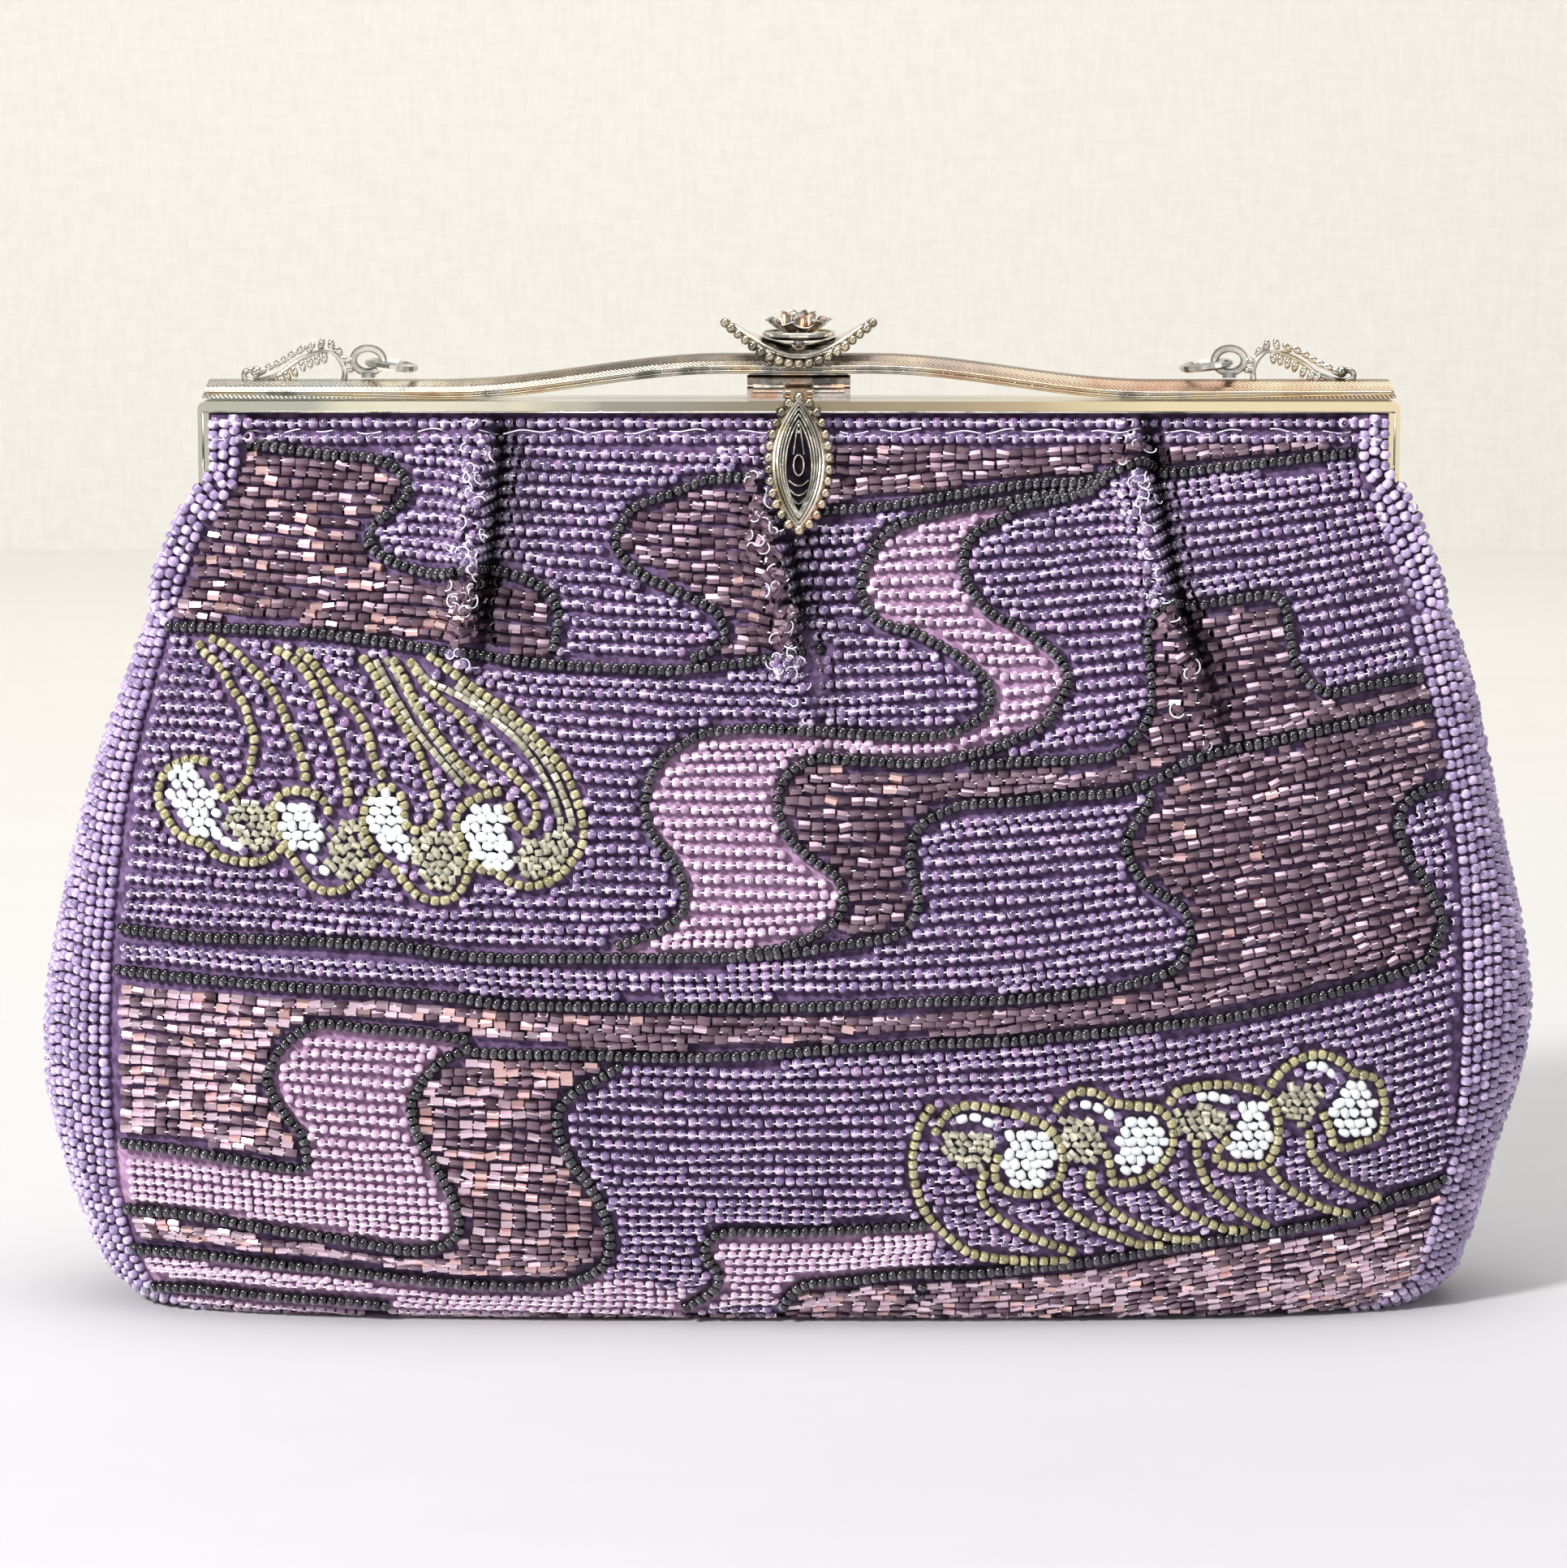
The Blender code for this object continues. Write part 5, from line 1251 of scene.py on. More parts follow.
SILVER, CREAM, COPPER, OLIVE = (0.56, 0.53, 0.49), (0.66, 0.57, 0.40), (0.55, 0.37, 0.27), (0.16, 0.16, 0.13)
MATERIALS = {
    "lavender": bead_material(
        "lavender_glass", ((0.0, 77, 60, 99), (0.4, 98, 78, 122), (0.75, 118, 96, 143), (1.0, 144, 110, 156)),
        (250, 232, 255), 1.0, 0.12, metallic=0.2,
    ),
    "gusset": bead_material(
        "pale_lavender_glass",
        ((0.0, 118, 98, 142), (0.4, 144, 124, 168), (0.75, 166, 146, 190), (1.0, 192, 168, 206)),
        (246, 234, 255), 0.95, 0.14,
    ),
    "mauve": bead_material(
        "mauve_glass", ((0.0, 150, 116, 150), (0.5, 174, 140, 172), (1.0, 198, 166, 194)),
        (255, 248, 255), 1.0, 0.14,
    ),
    # Two-cut ramp: the stops from 0.905 up are painted salmon and lilac reflections for the flashing beads
    "two_cut": bead_material(
        "copper_purple_glass",
        ((0.0, 36, 24, 35), (0.4, 54, 39, 50), (0.8, 72, 53, 64), (0.9, 92, 70, 84), (0.905, 232, 188, 178),
         (0.955, 240, 204, 196), (0.96, 226, 198, 216), (1.0, 242, 220, 232)),
        (220, 182, 204), 0.4, 0.13, metallic=0.72, coat=0.6,
    ),
    "hematite": bead_material(
        "hematite_glass", ((0.0, 17, 16, 22), (0.6, 32, 30, 38), (1.0, 68, 60, 68)),
        (166, 168, 178), 0.85, 0.13, metallic=0.5,
    ),
    "gold": bead_material(
        "pale_gold_glass", ((0.0, 116, 109, 76), (0.5, 146, 138, 100), (1.0, 180, 172, 132)),
        (240, 236, 200), 0.95, 0.14, metallic=0.25,
    ),
    "foam": bead_material(
        "white_glass", ((0.0, 208, 216, 219), (1.0, 230, 234, 235)), (236, 240, 242), 0.6, 0.25,
    ),
    "clear": bead_material(
        "smoke_glass",
        ((0.0, 40, 38, 34), (0.45, 70, 67, 55), (0.72, 104, 101, 80), (0.86, 160, 156, 128),
         (1.0, 226, 222, 200)),
        (226, 222, 200), 0.75, 0.1, metallic=0.45,
    ),
    "thread": cloudy_material("white_thread", srgb(214, 208, 226), srgb(246, 244, 250), 900, 0.5),
    "cloth": cloth_material(),
    "lining": cloudy_material("satin_lining", srgb(150, 138, 170), srgb(176, 164, 196), 260, 0.45, bump=0.15),
    "bar": bar_material(),
    # A near-black sheet that paints the shadow seen through the tab's opening
    "deep": cloudy_material("tab_opening_painted_shadow", srgb(10, 8, 13), srgb(26, 19, 30), 900, 0.9, specular=0.03),
    "bright": metal_material(
        "bright_silver", ((0.36, OLIVE), (0.44, SILVER), (0.55, (0.80, 0.77, 0.71)), (0.66, CREAM)), 140, 0.14
    ),
    "grain": metal_material(
        "grain_metal",
        ((0.38, (0.20, 0.19, 0.15)), (0.46, (0.50, 0.44, 0.34)), (0.55, (0.68, 0.60, 0.46)), (0.64, COPPER)),
        150, 0.12,
    ),
    "gilt": metal_material(
        "warm_gilt", ((0.38, OLIVE), (0.46, CREAM), (0.56, COPPER), (0.68, CREAM)), 160, 0.2
    ),
    "rope": metal_material(
        "rope_wire",
        ((0.38, (0.24, 0.25, 0.21)), (0.5, (0.46, 0.44, 0.39)), (0.62, (0.66, 0.62, 0.54))), 420, 0.2,
    ),
    "petal": metal_material(
        "petal_metal",
        ((0.36, (0.16, 0.15, 0.15)), (0.46, (0.60, 0.58, 0.56)), (0.55, SILVER), (0.63, COPPER)), 260, 0.14,
    ),
    "arch": arch_material(),
    "arch_wire": metal_material(
        "arch_wire",
        ((0.38, OLIVE), (0.46, (0.44, 0.42, 0.39)), (0.54, (0.52, 0.44, 0.31)), (0.64, (0.42, 0.28, 0.20))),
        70, 0.18,
    ),
    "keeper": metal_material(
        "keeper_plating", ((0.38, (0.20, 0.20, 0.20)), (0.5, (0.60, 0.56, 0.52)), (0.62, COPPER)), 200, 0.14
    ),
    "ring": metal_material("ring_steel", ((0.4, (0.46, 0.45, 0.43)), (0.6, (0.82, 0.80, 0.75))), 220, 0.18),
}
MATERIALS["edge"] = MATERIALS["lavender"]
# Beads in one piece, kept low enough for its export
PIECE_BEADS = 1900

# The bag's halves, and the way each faces along y
HALVES = (("front", -1), ("rear", 1))


def hang(made):
    """Bake a soft piece's placing into its mesh."""
    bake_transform(made)
    return made


def hang_beads(kind, number, beads, shape, tints=None, shade=None):
    """The same beads on both halves, mirrored at the rear."""
    for half, way in HALVES:
        placed_beads = beads if way < 0 else mirrored(beads)
        name = f"{kind}_beads_{half}_{number + 1}"
        hang(bead_mesh(name, placed_beads, shape, MATERIALS[kind], tints, shade))


def make_beadwork():
    for kind, beads in front.items():
        arrays = beads.arrays()
        tints = rng.uniform(0, 1, len(arrays[0]))
        px, py = seen_at(arrays[0])
        if kind == "mauve":
            # painted shade: mauve beads darker towards the top of the panel, lighter lower down
            tints = np.clip(0.5 * tints + 0.6 * (py - 640) / 900, 0, 1)
        if kind == "two_cut":
            flashes = np.concatenate(flash)
            # painted reflections: flashing two-cut beads take the salmon and lilac ends of their ramp
            tints = tints * 0.88
            tints[: len(flashes)] = np.choose(flashes, (tints[: len(flashes)], 0.93, 0.99))
        # the beads carry painted shade in the tucks' valleys
        for number, part in enumerate(split((*arrays, tints, fold_shade(px, py)), PIECE_BEADS)):
            hang_beads(kind, number, part[:5], SHAPE_OF[kind], *part[5:])
    for number, part in enumerate(split(gusset_beads(), PIECE_BEADS)):
        hang_beads("gusset", number, part, "round")


def make_threads():
    """Short white stitches that show between the beads of a row."""
    starts, ends = [], []
    for kind in FIELD:
        centre, along, out, size, link = front[kind].arrays()
        # fewer stitches show where the folds carry painted shade
        share = (0.55 if kind == "two_cut" else 0.9) * fold_shade(*seen_at(centre)) ** 2
        chosen = link & (rng.uniform(0, 1, len(link)) < share)
        way = unit(along[chosen])
        joint = centre[chosen] + way * size[chosen, :1] * 0.57 + unit(out[chosen]) * size[chosen, 1:] * 0.33
        half = rng.uniform(0.24, 0.46, (len(joint), 1)) * MM
        starts.append(joint - way * half)
        ends.append(joint + way * half)
    for loop in thread_loops:
        starts.append(loop[:-1])
        ends.append(loop[1:])
    starts, ends = np.concatenate(starts), np.concatenate(ends)
    for half, way in HALVES:
        turned = 1 if way < 0 else TO_REAR
        hang(threads_mesh(f"threads_{half}", starts * turned, ends * turned, 0.11 * MM))


# Where a frame leg starts, and how far out the cloth may reach inside it
LEG_FOOT, LEG_INNER, LEG_DEPTH = 110.2 * MM, 88.5 * MM, 6.8 * MM
# Cloth nearer to the side than this has no push and no pale region
SIDE_DEPTH = 3 * MM


def shell_ring(height, inset, angles):
    """Points round the front half of the bag at one height, drawn in by inset."""
    deep = read(FINE_SECTION, height, 3) - inset
    square = read(FINE_SECTION, height, 4) / MM
    cosine = np.cos(angles)
    wide = half_width(cosine, np.full(cosine.shape, height)) - inset
    x = wide * np.sign(cosine) * np.abs(cosine) ** (2 / square)
    y = -deep * np.abs(np.sin(angles)) ** (2 / square)
    if height > LEG_FOOT:
        held = (np.abs(x) > LEG_INNER - inset) & (np.abs(y) < LEG_DEPTH)
        x = np.where(held, np.sign(x) * (LEG_INNER - inset), x)
    return np.stack((x, y, np.full(x.shape, height)), 1)


def shell(name, inset, low, high, levels, way, lining=False):
    """Half of the bag's shell drawn in by inset, front or rear."""
    floor_levels = low + np.array((0, 0.4, 1.0, 2.0, 3.5)) * MM
    heights = np.concatenate((floor_levels, np.linspace(low + 6 * MM, high, levels)))
    angles = np.linspace(0, math.pi, 193 if lining else 385)
    rows, shades, pales = [], [], []
    for height in heights:
        ring = shell_ring(height, inset, angles)
        px, py = seen_at(ring)
        push = cloth_push(px, py)
        away = np.abs(ring[:, 1]) > SIDE_DEPTH
        if lining:
            # The lining keeps clear of each valley of the cloth outside it
            push = np.minimum(push, 0)
            push = np.minimum.reduce((push, np.roll(push, 1), np.roll(push, -1)))
        ring[:, 1] -= push * away
        rows.append(ring)
        # the cloth carries painted shade in the tucks' valleys
        shades.append(fold_shade(px, py))
        pales.append((kind_at(px, py) == 2) & away)
    points = (np.array(rows) * (1.0, -way, 1.0)).reshape(-1, 3)
    count = len(angles)
    faces = quads(len(heights), count, False)
    faces += [(k, k + 1, count - 2 - k, count - 1 - k) for k in range(count // 2)]
    made = plain_mesh(name, points, faces, MATERIALS["lining" if lining else "cloth"])
    mark(made.data, "shade", np.concatenate(shades))
    mark(made.data, "pale", np.concatenate(pales))
    turn_faces(made)
    return hang(made)


def turn_faces(made):
    """Turn the faces one way and drop empty ones."""
    bm = bmesh.new()
    bm.from_mesh(made.data)
    bmesh.ops.dissolve_degenerate(bm, dist=1e-7, edges=bm.edges)
    bmesh.ops.recalc_face_normals(bm, faces=bm.faces)
    bm.to_mesh(made.data)
    bm.free()

LINING_INSET = 2.6 * MM


def make_cloth():
    replaced = {"front": ("front_panel", "gusset_left", "gusset_right"), "rear": ("rear_panel",)}
    for half, way in HALVES:
        made = shell(f"cloth_{half}", CLOTH_INSET, 1.0 * MM, 140.2 * MM, 120, way)
        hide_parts(*replaced[half])
        made = shell(f"lining_{half}", LINING_INSET, 3.2 * MM, 140.0 * MM, 40, way, lining=True)
        if half == "front":
            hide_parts("lining")
    make_pocket()


# The pocket's half width, foot and mouth
POCKET_HALF, POCKET_FOOT, POCKET_MOUTH = 45 * MM, 45 * MM, 97.6 * MM


def make_pocket():
    """A flat open pocket with a corded mouth on the rear lining."""
    x, z = np.meshgrid(np.linspace(-POCKET_HALF, POCKET_HALF, 31), np.linspace(POCKET_FOOT, POCKET_MOUTH, 20))
    edge = np.minimum.reduce((POCKET_HALF - np.abs(x), z - POCKET_FOOT))
    y = -front_y(x, z, LINING_INSET) - np.interp(edge, (0, 1 * MM), (0.1, 0.9)) * MM
    sheet = np.stack((x, y, z), -1)
    mouth = tube(sheet[-1], 0.55 * MM, 8)
    parts = ((sheet.reshape(-1, 3), quads(*x.shape, False)), mouth)
    made = plain_mesh("pocket", *joined(parts), MATERIALS["lining"])
    hang(made)
    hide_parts("lining_pocket")


def curve(points, count):
    """Places evenly spaced along a smooth curve through 3-D points."""
    line = spline(points, 10)
    run = run_along(line)
    return sampled(np.linspace(0, run[-1], count), run, line)


def frames_along(path):
    """Tangents with two steady cross directions along a path."""
    tangents = unit(np.gradient(path, axis=0))
    guess = np.array((0.0, 1.0, 0.0)) if abs(tangents[0, 1]) < 0.8 else np.array((1.0, 0.0, 0.0))
    first = np.empty_like(path)
    previous = unit(np.cross(tangents[0], guess))
    for i, tangent in enumerate(tangents):
        previous = unit(previous - tangent * (previous @ tangent))
        first[i] = previous
    return tangents, first, np.cross(tangents, first)


def tube(path, radius, sides=8):
    """Points and faces of a round wire with closed ends."""
    path = np.asarray(path, float)
    _, first, second = frames_along(path)
    radius = np.broadcast_to(np.asarray(radius, float), len(path))[:, None, None]
    points = path[:, None] + radius * circles(first, second, sides)
    last = (len(path) - 1) * sides
    faces = quads(len(path), sides) + [tuple(range(sides))[::-1], tuple(range(last, last + sides))]
    return points.reshape(-1, 3), faces


def rope(path, radius, twist):
    """Two fine wires twisted round each other; twist is the length of one turn."""
    run = run_along(path)
    at = np.linspace(0, run[-1], max(int(run[-1] / twist * 8), 8))
    line = sampled(at, run, path)
    _, first, second = frames_along(line)
    parts = []
    for phase in (0, math.pi):
        angle = (at / twist * math.tau + phase)[:, None]
        parts.append(
            tube(line + radius * 0.55 * (np.cos(angle) * first + np.sin(angle) * second), radius * 0.55, 5)
        )
    return parts


def ball(centre, radius, steps=8, stretch=None):
    """Points and faces of a round grain, drawn out along stretch when it is given."""
    rings = np.linspace(0, math.pi, steps + 1)[1:-1]
    n = steps + 4
    turns = np.arange(n) * math.tau / n
    flat = np.sin(rings)[:, None]
    body = np.stack((flat * np.cos(turns), flat * np.sin(turns), np.repeat(np.cos(rings)[:, None], n, 1)), -1)
    points = np.vstack((body.reshape(-1, 3), ((0, 0, 1), (0, 0, -1)))) * radius
    if stretch is not None:
        way = unit(np.asarray(stretch, float))
        points = points + np.outer(points @ way, way) * (np.linalg.norm(stretch) - 1)
    faces = [(a, d, c, b) for a, b, c, d in quads(len(rings), n)]
    top = len(rings) * n
    last = top - n
    for k in range(n):
        faces.append((top, k, (k + 1) % n))
        faces.append((top + 1, last + (k + 1) % n, last + k))
    return points + np.asarray(centre), faces


def joined(parts):
    """Points and faces of several parts as one."""
    points, faces, start = [], [], 0
    for part_points, part_faces in parts:
        points.append(part_points)
        faces += [tuple(int(i) + start for i in face) for face in part_faces]
        start += len(part_points)
    return np.vstack(points), faces


def piece(name, parts, material, body, *replaced):
    """One named mesh of several parts, carried by a body."""
    made = plain_mesh(name, *joined(parts), MATERIALS[material])
    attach(made, body)
    if replaced:
        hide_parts(*replaced)
    return made


# The tab hangs from its pin at a slant
PIN = np.array((0.0, -5.0, 142.65)) * MM
TAB_TILT = math.radians(18)
TAB_DOWN = np.array((0.0, -math.sin(TAB_TILT), -math.cos(TAB_TILT)))
TAB_OUT = np.array((0.0, -math.cos(TAB_TILT), math.sin(TAB_TILT)))
TAB_MIDDLE = 11.55 * MM


def tab_place(across, down, out):
    """A place on the tab from its middle line, its middle and its face."""
    across, down, out = np.broadcast_arrays(across, down, out)
    return (
        PIN
        + across[..., None] * np.array((1.0, 0.0, 0.0))
        + (TAB_MIDDLE + down)[..., None] * TAB_DOWN
        + out[..., None] * TAB_OUT
    )

def oval(half_wide, half_long, fullness, count, out):
    """A pointed oval on the tab, sized in mm; a low fullness gives rounder shoulders."""
    angle = np.linspace(0, math.tau, count)
    down = -np.cos(angle)
    across = np.sign(np.sin(angle)) * (1 - down**2) ** fullness
    return tab_place(across * (half_wide * MM), down * (half_long * MM), out)


# Grains round the tab; the ones below this height are worn to gilt
TAB_GRAINS, GILT_BELOW = 26, 126.5 * MM


def make_tab_border(face):
    border = oval(4.6, 10.35, 0.6, 400, face - 0.15 * MM)
    run = run_along(border)
    balls, low_balls = [], []
    for k in range(TAB_GRAINS):
        place = sampled(run[-1] * k / TAB_GRAINS, run, border)
        grain = ball(place, 0.81 * MM * rng.normal(1, 0.03))
        (low_balls if place[2] < GILT_BELOW else balls).append(grain)
    piece("tab_balls", balls, "grain", "tab", "tab_bead_border")
    piece("tab_balls_gilt", low_balls, "gilt", "tab")


def make_tab_plate(face):
    """The tab's flat rim, a dark sheet of painted shadow in its opening, and the two wires between them."""
    count = 120
    outer = oval(4.35, 10.0, 0.62, count, face - 0.1 * MM)
    inner = oval(2.9, 8.9, 1.0, count, face + 0.05 * MM)
    ring = np.vstack((outer, inner, inner - TAB_OUT * 0.4 * MM, outer - TAB_OUT * 0.4 * MM))
    faces = [tuple(i % len(ring) for i in quad) for quad in quads(5, count, False)]
    piece("tab_plate", [(ring, faces)], "gilt", "tab")
    # painted shadow: a dark sheet fills the opening
    opening = oval(3.2, 9.1, 0.95, 61, face + 0.03 * MM)[:-1]
    piece("tab_opening", [(opening, [tuple(range(60))])], "deep", "tab")
    rims = [
        tube(oval(3.8, 9.9, 0.92, 90, face + 0.22 * MM), 0.25 * MM),
        tube(oval(3.25, 9.3, 0.97, 90, face + 0.27 * MM), 0.19 * MM),
    ]
    piece("tab_rims", rims, "bright", "tab")


def make_tab_wires(face):
    """The filigree: nested ovals, a loop, three bows below it and two stems above."""
    ropes = []
    for half_wide, half_long, lower in ((2.82, 8.5, 0.0), (2.42, 7.9, 0.2), (2.02, 7.2, 0.5)):
        path = oval(half_wide, half_long, 0.92, 200, face + 0.17 * MM) + lower * MM * TAB_DOWN
        ropes += rope(path, 0.18 * MM, 0.62 * MM)
    angle = np.linspace(0, math.tau, 40)
    loop = tab_place(0.78 * MM * np.sin(angle), (0.3 - 1.6 * np.cos(angle)) * MM, face + 0.2 * MM)
    ropes += rope(loop, 0.15 * MM, 0.5 * MM)
    for down, wide in ((3.5, 1.5), (5.0, 1.3), (6.3, 0.9)):
        side = np.linspace(-1, 1, 24)
        path = tab_place(side * wide * MM, (down - 0.9 * side**2) * MM, face + 0.2 * MM)
        ropes += rope(path, 0.14 * MM, 0.48 * MM)
    for side in (-1, 1):
        bend = np.linspace(-5.6, -1.4, 24)
        path = tab_place(side * (0.25 + 0.55 * (bend + 5.6) / 4.2) * MM, bend * MM, face + 0.17 * MM)
        ropes += rope(path, 0.14 * MM, 0.5 * MM)
    for down in (-5.9, -4.9):
        ropes.append(ball(tab_place(0.0, down * MM, face + 0.1 * MM), 0.3 * MM))
    piece("tab_ropes", ropes, "rope", "tab", "tab_filigree")


def make_tab():
    away = np.array([v.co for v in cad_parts["leaf_tab"].data.vertices]) - PIN
    face = (away @ TAB_OUT)[(away @ TAB_DOWN) > 6 * MM].max()
    make_tab_border(face)
    make_tab_plate(face)
    make_tab_wires(face)


def leaf_height(x, y):
    """Height of the crest leaf over a place in plan, in metres."""
    droop = np.where(y < 0, 1.6, 0.4) * MM
    return 149.5 * MM + 3.0 * MM * (x / (10.2 * MM)) ** 2 - droop * (y / (3.75 * MM)) ** 2

LEAF_GRAINS = 18


def make_leaf():
    """Grains along both edges of the saddle leaf, with a bright wire inside each."""
    grains, wires = [], []
    x = np.linspace(-11.35, 11.35, 300) * MM
    wire_x = np.linspace(-10.6, 10.6, 80) * MM
    for side in (-1, 1):
        y = side * 4.55 * MM * (1 - (x / (11.4 * MM)) ** 2) ** 0.8
        line = np.stack((x, y, leaf_height(x, y) - 0.1 * MM), 1)
        run = run_along(line)
        for k in range(LEAF_GRAINS + (side < 0)):
            place = sampled(run[-1] * (k + (0 if side < 0 else 0.5)) / LEAF_GRAINS, run, line)
            grains.append(ball(place, 0.78 * MM * rng.normal(1, 0.04)))
        y = side * 3.7 * MM * (1 - (wire_x / (10.7 * MM)) ** 2) ** 0.9
        wires.append(tube(np.stack((wire_x, y, leaf_height(wire_x, y) + 0.45 * MM), 1), 0.24 * MM))
    piece("leaf_balls", grains, "grain", "rear_half", "top_leaf_beads")
    piece("leaf_rims", wires, "bright", "rear_half")


# Rings of petals: number, foot, reach, rise and half width (mm), share of the rise lost at the sides,
# first turn, power and share of the tip's taper, then how far a petal curls in plan and is cupped in height
PETAL_RINGS = (
    (8, 1.9, 3.3, 2.2, 1.9, 0.6, 0.2, 2.6, 0.75, 0.16, 0.34),
    (7, 1.8, 0.9, 3.5, 1.22, 0.0, -math.pi / 2, 5, 0.3, 0.10, 0.0),
)
PETAL_ROWS, PETAL_COLUMNS, PETAL_FOOT = 13, 11, 151.45


def make_flower():
    """Two rings of petals, and the disc's bright rim."""
    petals = []
    s = np.linspace(0, 1, PETAL_ROWS)[:, None]
    t = np.linspace(-1, 1, PETAL_COLUMNS)[None]
    for number, foot, reach, rise, wide, lost, start, power, taper, curl, cup in PETAL_RINGS:
        for k in range(number):
            turn = math.tau * k / number + start
            lift = rise * (1 - lost + lost * abs(math.cos(turn)))
            tip = 1 - (np.clip(s - 0.6, 0, None) / 0.4) ** power * taper
            across = wide * np.where(s < 0.6, 0.5 + 0.83 * s, tip) * t
            radius = foot + reach * s**0.9 - curl * across**2
            height = PETAL_FOOT + lift * s**1.2 * (1 - 0.10 * t**2) + cup * across**2
            x = radius * math.cos(turn) - across * math.sin(turn)
            y = radius * math.sin(turn) + across * math.cos(turn)
            points = np.stack((x, y, height), -1).reshape(-1, 3) * MM
            petals.append((points, quads(PETAL_ROWS, PETAL_COLUMNS, False)))
    made = piece("petals", petals, "petal", "rear_half", "flower_petals")
    made.modifiers.new("wall", "SOLIDIFY").thickness = 0.16 * MM
    angle = np.linspace(0, math.tau, 80)
    rim = np.stack((5.5 * np.cos(angle), 5.5 * np.sin(angle), 151.7 + 0 * angle), 1) * MM
    piece("disc_rim", [tube(rim, 0.19 * MM)], "bright", "rear_half")


# A feather spray's stem and leaves, in the photo's pixels, for the left one
FEATHER_STEM = (
    (312, 458), (303, 456), (297, 460), (299, 467), (312, 469), (330, 465), (345, 458), (358, 448),
    (372, 440), (388, 434), (402, 432), (411, 438), (418, 448), (421, 458), (420, 469),
)
FEATHER_LEAVES = (
    (318, 458, -0.4), (329, 452, -0.4), (338, 448, -0.5), (347, 443, -0.5), (356, 437, -0.6),
    (367, 431, -0.7), (379, 428, -0.9), (392, 424, -1.3), (404, 425, -1.6), (413, 432, -2.2),
    (421, 443, -2.6), (425, 455, -2.9), (342, 465, -2.2), (350, 463, -2.0), (359, 458, -1.9),
    (369, 451, -1.8), (378, 447, -1.7), (387, 443, -1.6), (396, 441, -1.5),
)


# The sprays stand in this plane, moved in from their photo places by this much
SPRAY_Y, SPRAY_SHIFT = 0.2 * MM, 0.5 * MM


def make_feathers():
    stem = np.array(FEATHER_STEM, float)
    path = curve(plane_point(stem[:, 0], stem[:, 1], np.full(len(stem), SPRAY_Y)), 70)
    thin = np.interp(np.linspace(0, 1, 70), (0, 0.2, 0.8, 1), (0.5, 0.42, 0.38, 0.5)) * MM
    for name, side in (("left", -1), ("right", 1)):
        flip = np.array((-side, 1.0, 1.0))
        parts = [tube((path + (SPRAY_SHIFT, 0, 0)) * flip, thin)]
        parts.append(ball((path[0] + (SPRAY_SHIFT, 0, 0)) * flip, 0.92 * MM))
        for px, py, turn in FEATHER_LEAVES:
            place = plane_point(px, py, SPRAY_Y) + (SPRAY_SHIFT, rng.normal(0, 0.1) * MM, 0)
            way = np.array((math.cos(turn), 0.0, -math.sin(turn))) * 1.75
            parts.append(ball(place * flip, 0.56 * MM, 8, way * flip))
        piece(f"spray_{name}", parts, "bright", "rear_half", f"feather_{name}")


# Rows of slanted cuts along the arch: half height and spacing
HATCH_REACH, HATCH_STEP = 0.24 * MM, 0.44 * MM
# The bar's lip and legs, by half width, face, height and the legs' foot
LIP_HALF, LIP_Y, LIP_Z, LIP_FOOT = 91.2 * MM, -6.2 * MM, 139.85 * MM, 112.0 * MM


def make_bands():
    """Wires and slanted cuts along the arch, and the bar's lower lip."""
    vertices = np.array([v.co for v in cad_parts["cover_arch"].data.vertices])
    face = vertices[:, 1].min()
    ahead = vertices[vertices[:, 1] < face + 0.3 * MM]
    stations = np.unique(np.round(ahead[:, 0], 5))
    heights = [ahead[np.abs(ahead[:, 0] - s) < 2e-5][:, 2] for s in stations]
    x = np.linspace(stations[0] + 0.5 * MM, stations[-1] - 0.5 * MM, 500)
    low = np.interp(x, stations, [found.min() for found in heights])
    tall = np.interp(x, stations, [found.max() for found in heights]) - low

    def along(share, radius, inset=0):
        path = np.stack((x, np.full(len(x), face), low + tall * share), 1)[inset : len(x) - inset]
        return tube(path, radius, 8)

    piece("arch_wires", [along(0.90, 0.30 * MM, 3), along(0.10, 0.32 * MM)], "arch_wire", "rear_half")
    piece("arch_fine_wires", [along(0.70, 0.12 * MM, 3), along(0.30, 0.12 * MM, 1)], "bright", "rear_half")
    hatches = []
    at = x[2]
    while at < x[-3]:
        middle = np.interp(at, x, low + tall * 0.5)
        ends = [
            (at + way * HATCH_REACH * 0.8, face - 0.02 * MM, middle + way * HATCH_REACH) for way in (-1, 1)
        ]
        hatches.append(tube(ends, 0.11 * MM, 5))
        at += HATCH_STEP
    piece("arch_hatching", hatches, "arch_wire", "rear_half")
    lip = [((-LIP_HALF, LIP_Y, LIP_Z), (LIP_HALF, LIP_Y, LIP_Z))]
    for side in (-1, 1):
        lip.append(((side * LIP_HALF, LIP_Y, 139.8 * MM), (side * LIP_HALF, LIP_Y, LIP_FOOT)))
    piece("frame_lip", [tube(ends, 0.16 * MM) for ends in lip], "bright", "front_half")


# Solids that keep their own form, by material
DRESSED = {
    "bar": ("front_frame", "rear_frame", "side_rivet_left", "side_rivet_right"),
    "arch": ("cover_arch",),
    "keeper": ("keeper", "clasp_bracket", "clasp_pin", "catch_tongue"),
    "bright": (
        "top_leaf", "flower_disc", "flower_stud", "feather_left", "feather_right", "flower_petals",
        "top_leaf_beads", "tab_bead_border",
    ),
    "gilt": ("leaf_tab",),
    "rope": ("tab_filigree",),
    "ring": ("ring_eye_left", "ring_eye_right", "jump_ring_left", "jump_ring_right"),
    "lining": ("base_board",),
}


def make_metal():
    for material, names in DRESSED.items():
        for name in names:
            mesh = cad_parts[name].data
            mesh.materials.clear()
            mesh.materials.append(MATERIALS[material])
    make_tab()
    make_leaf()
    make_flower()
    make_feathers()
    make_bands()


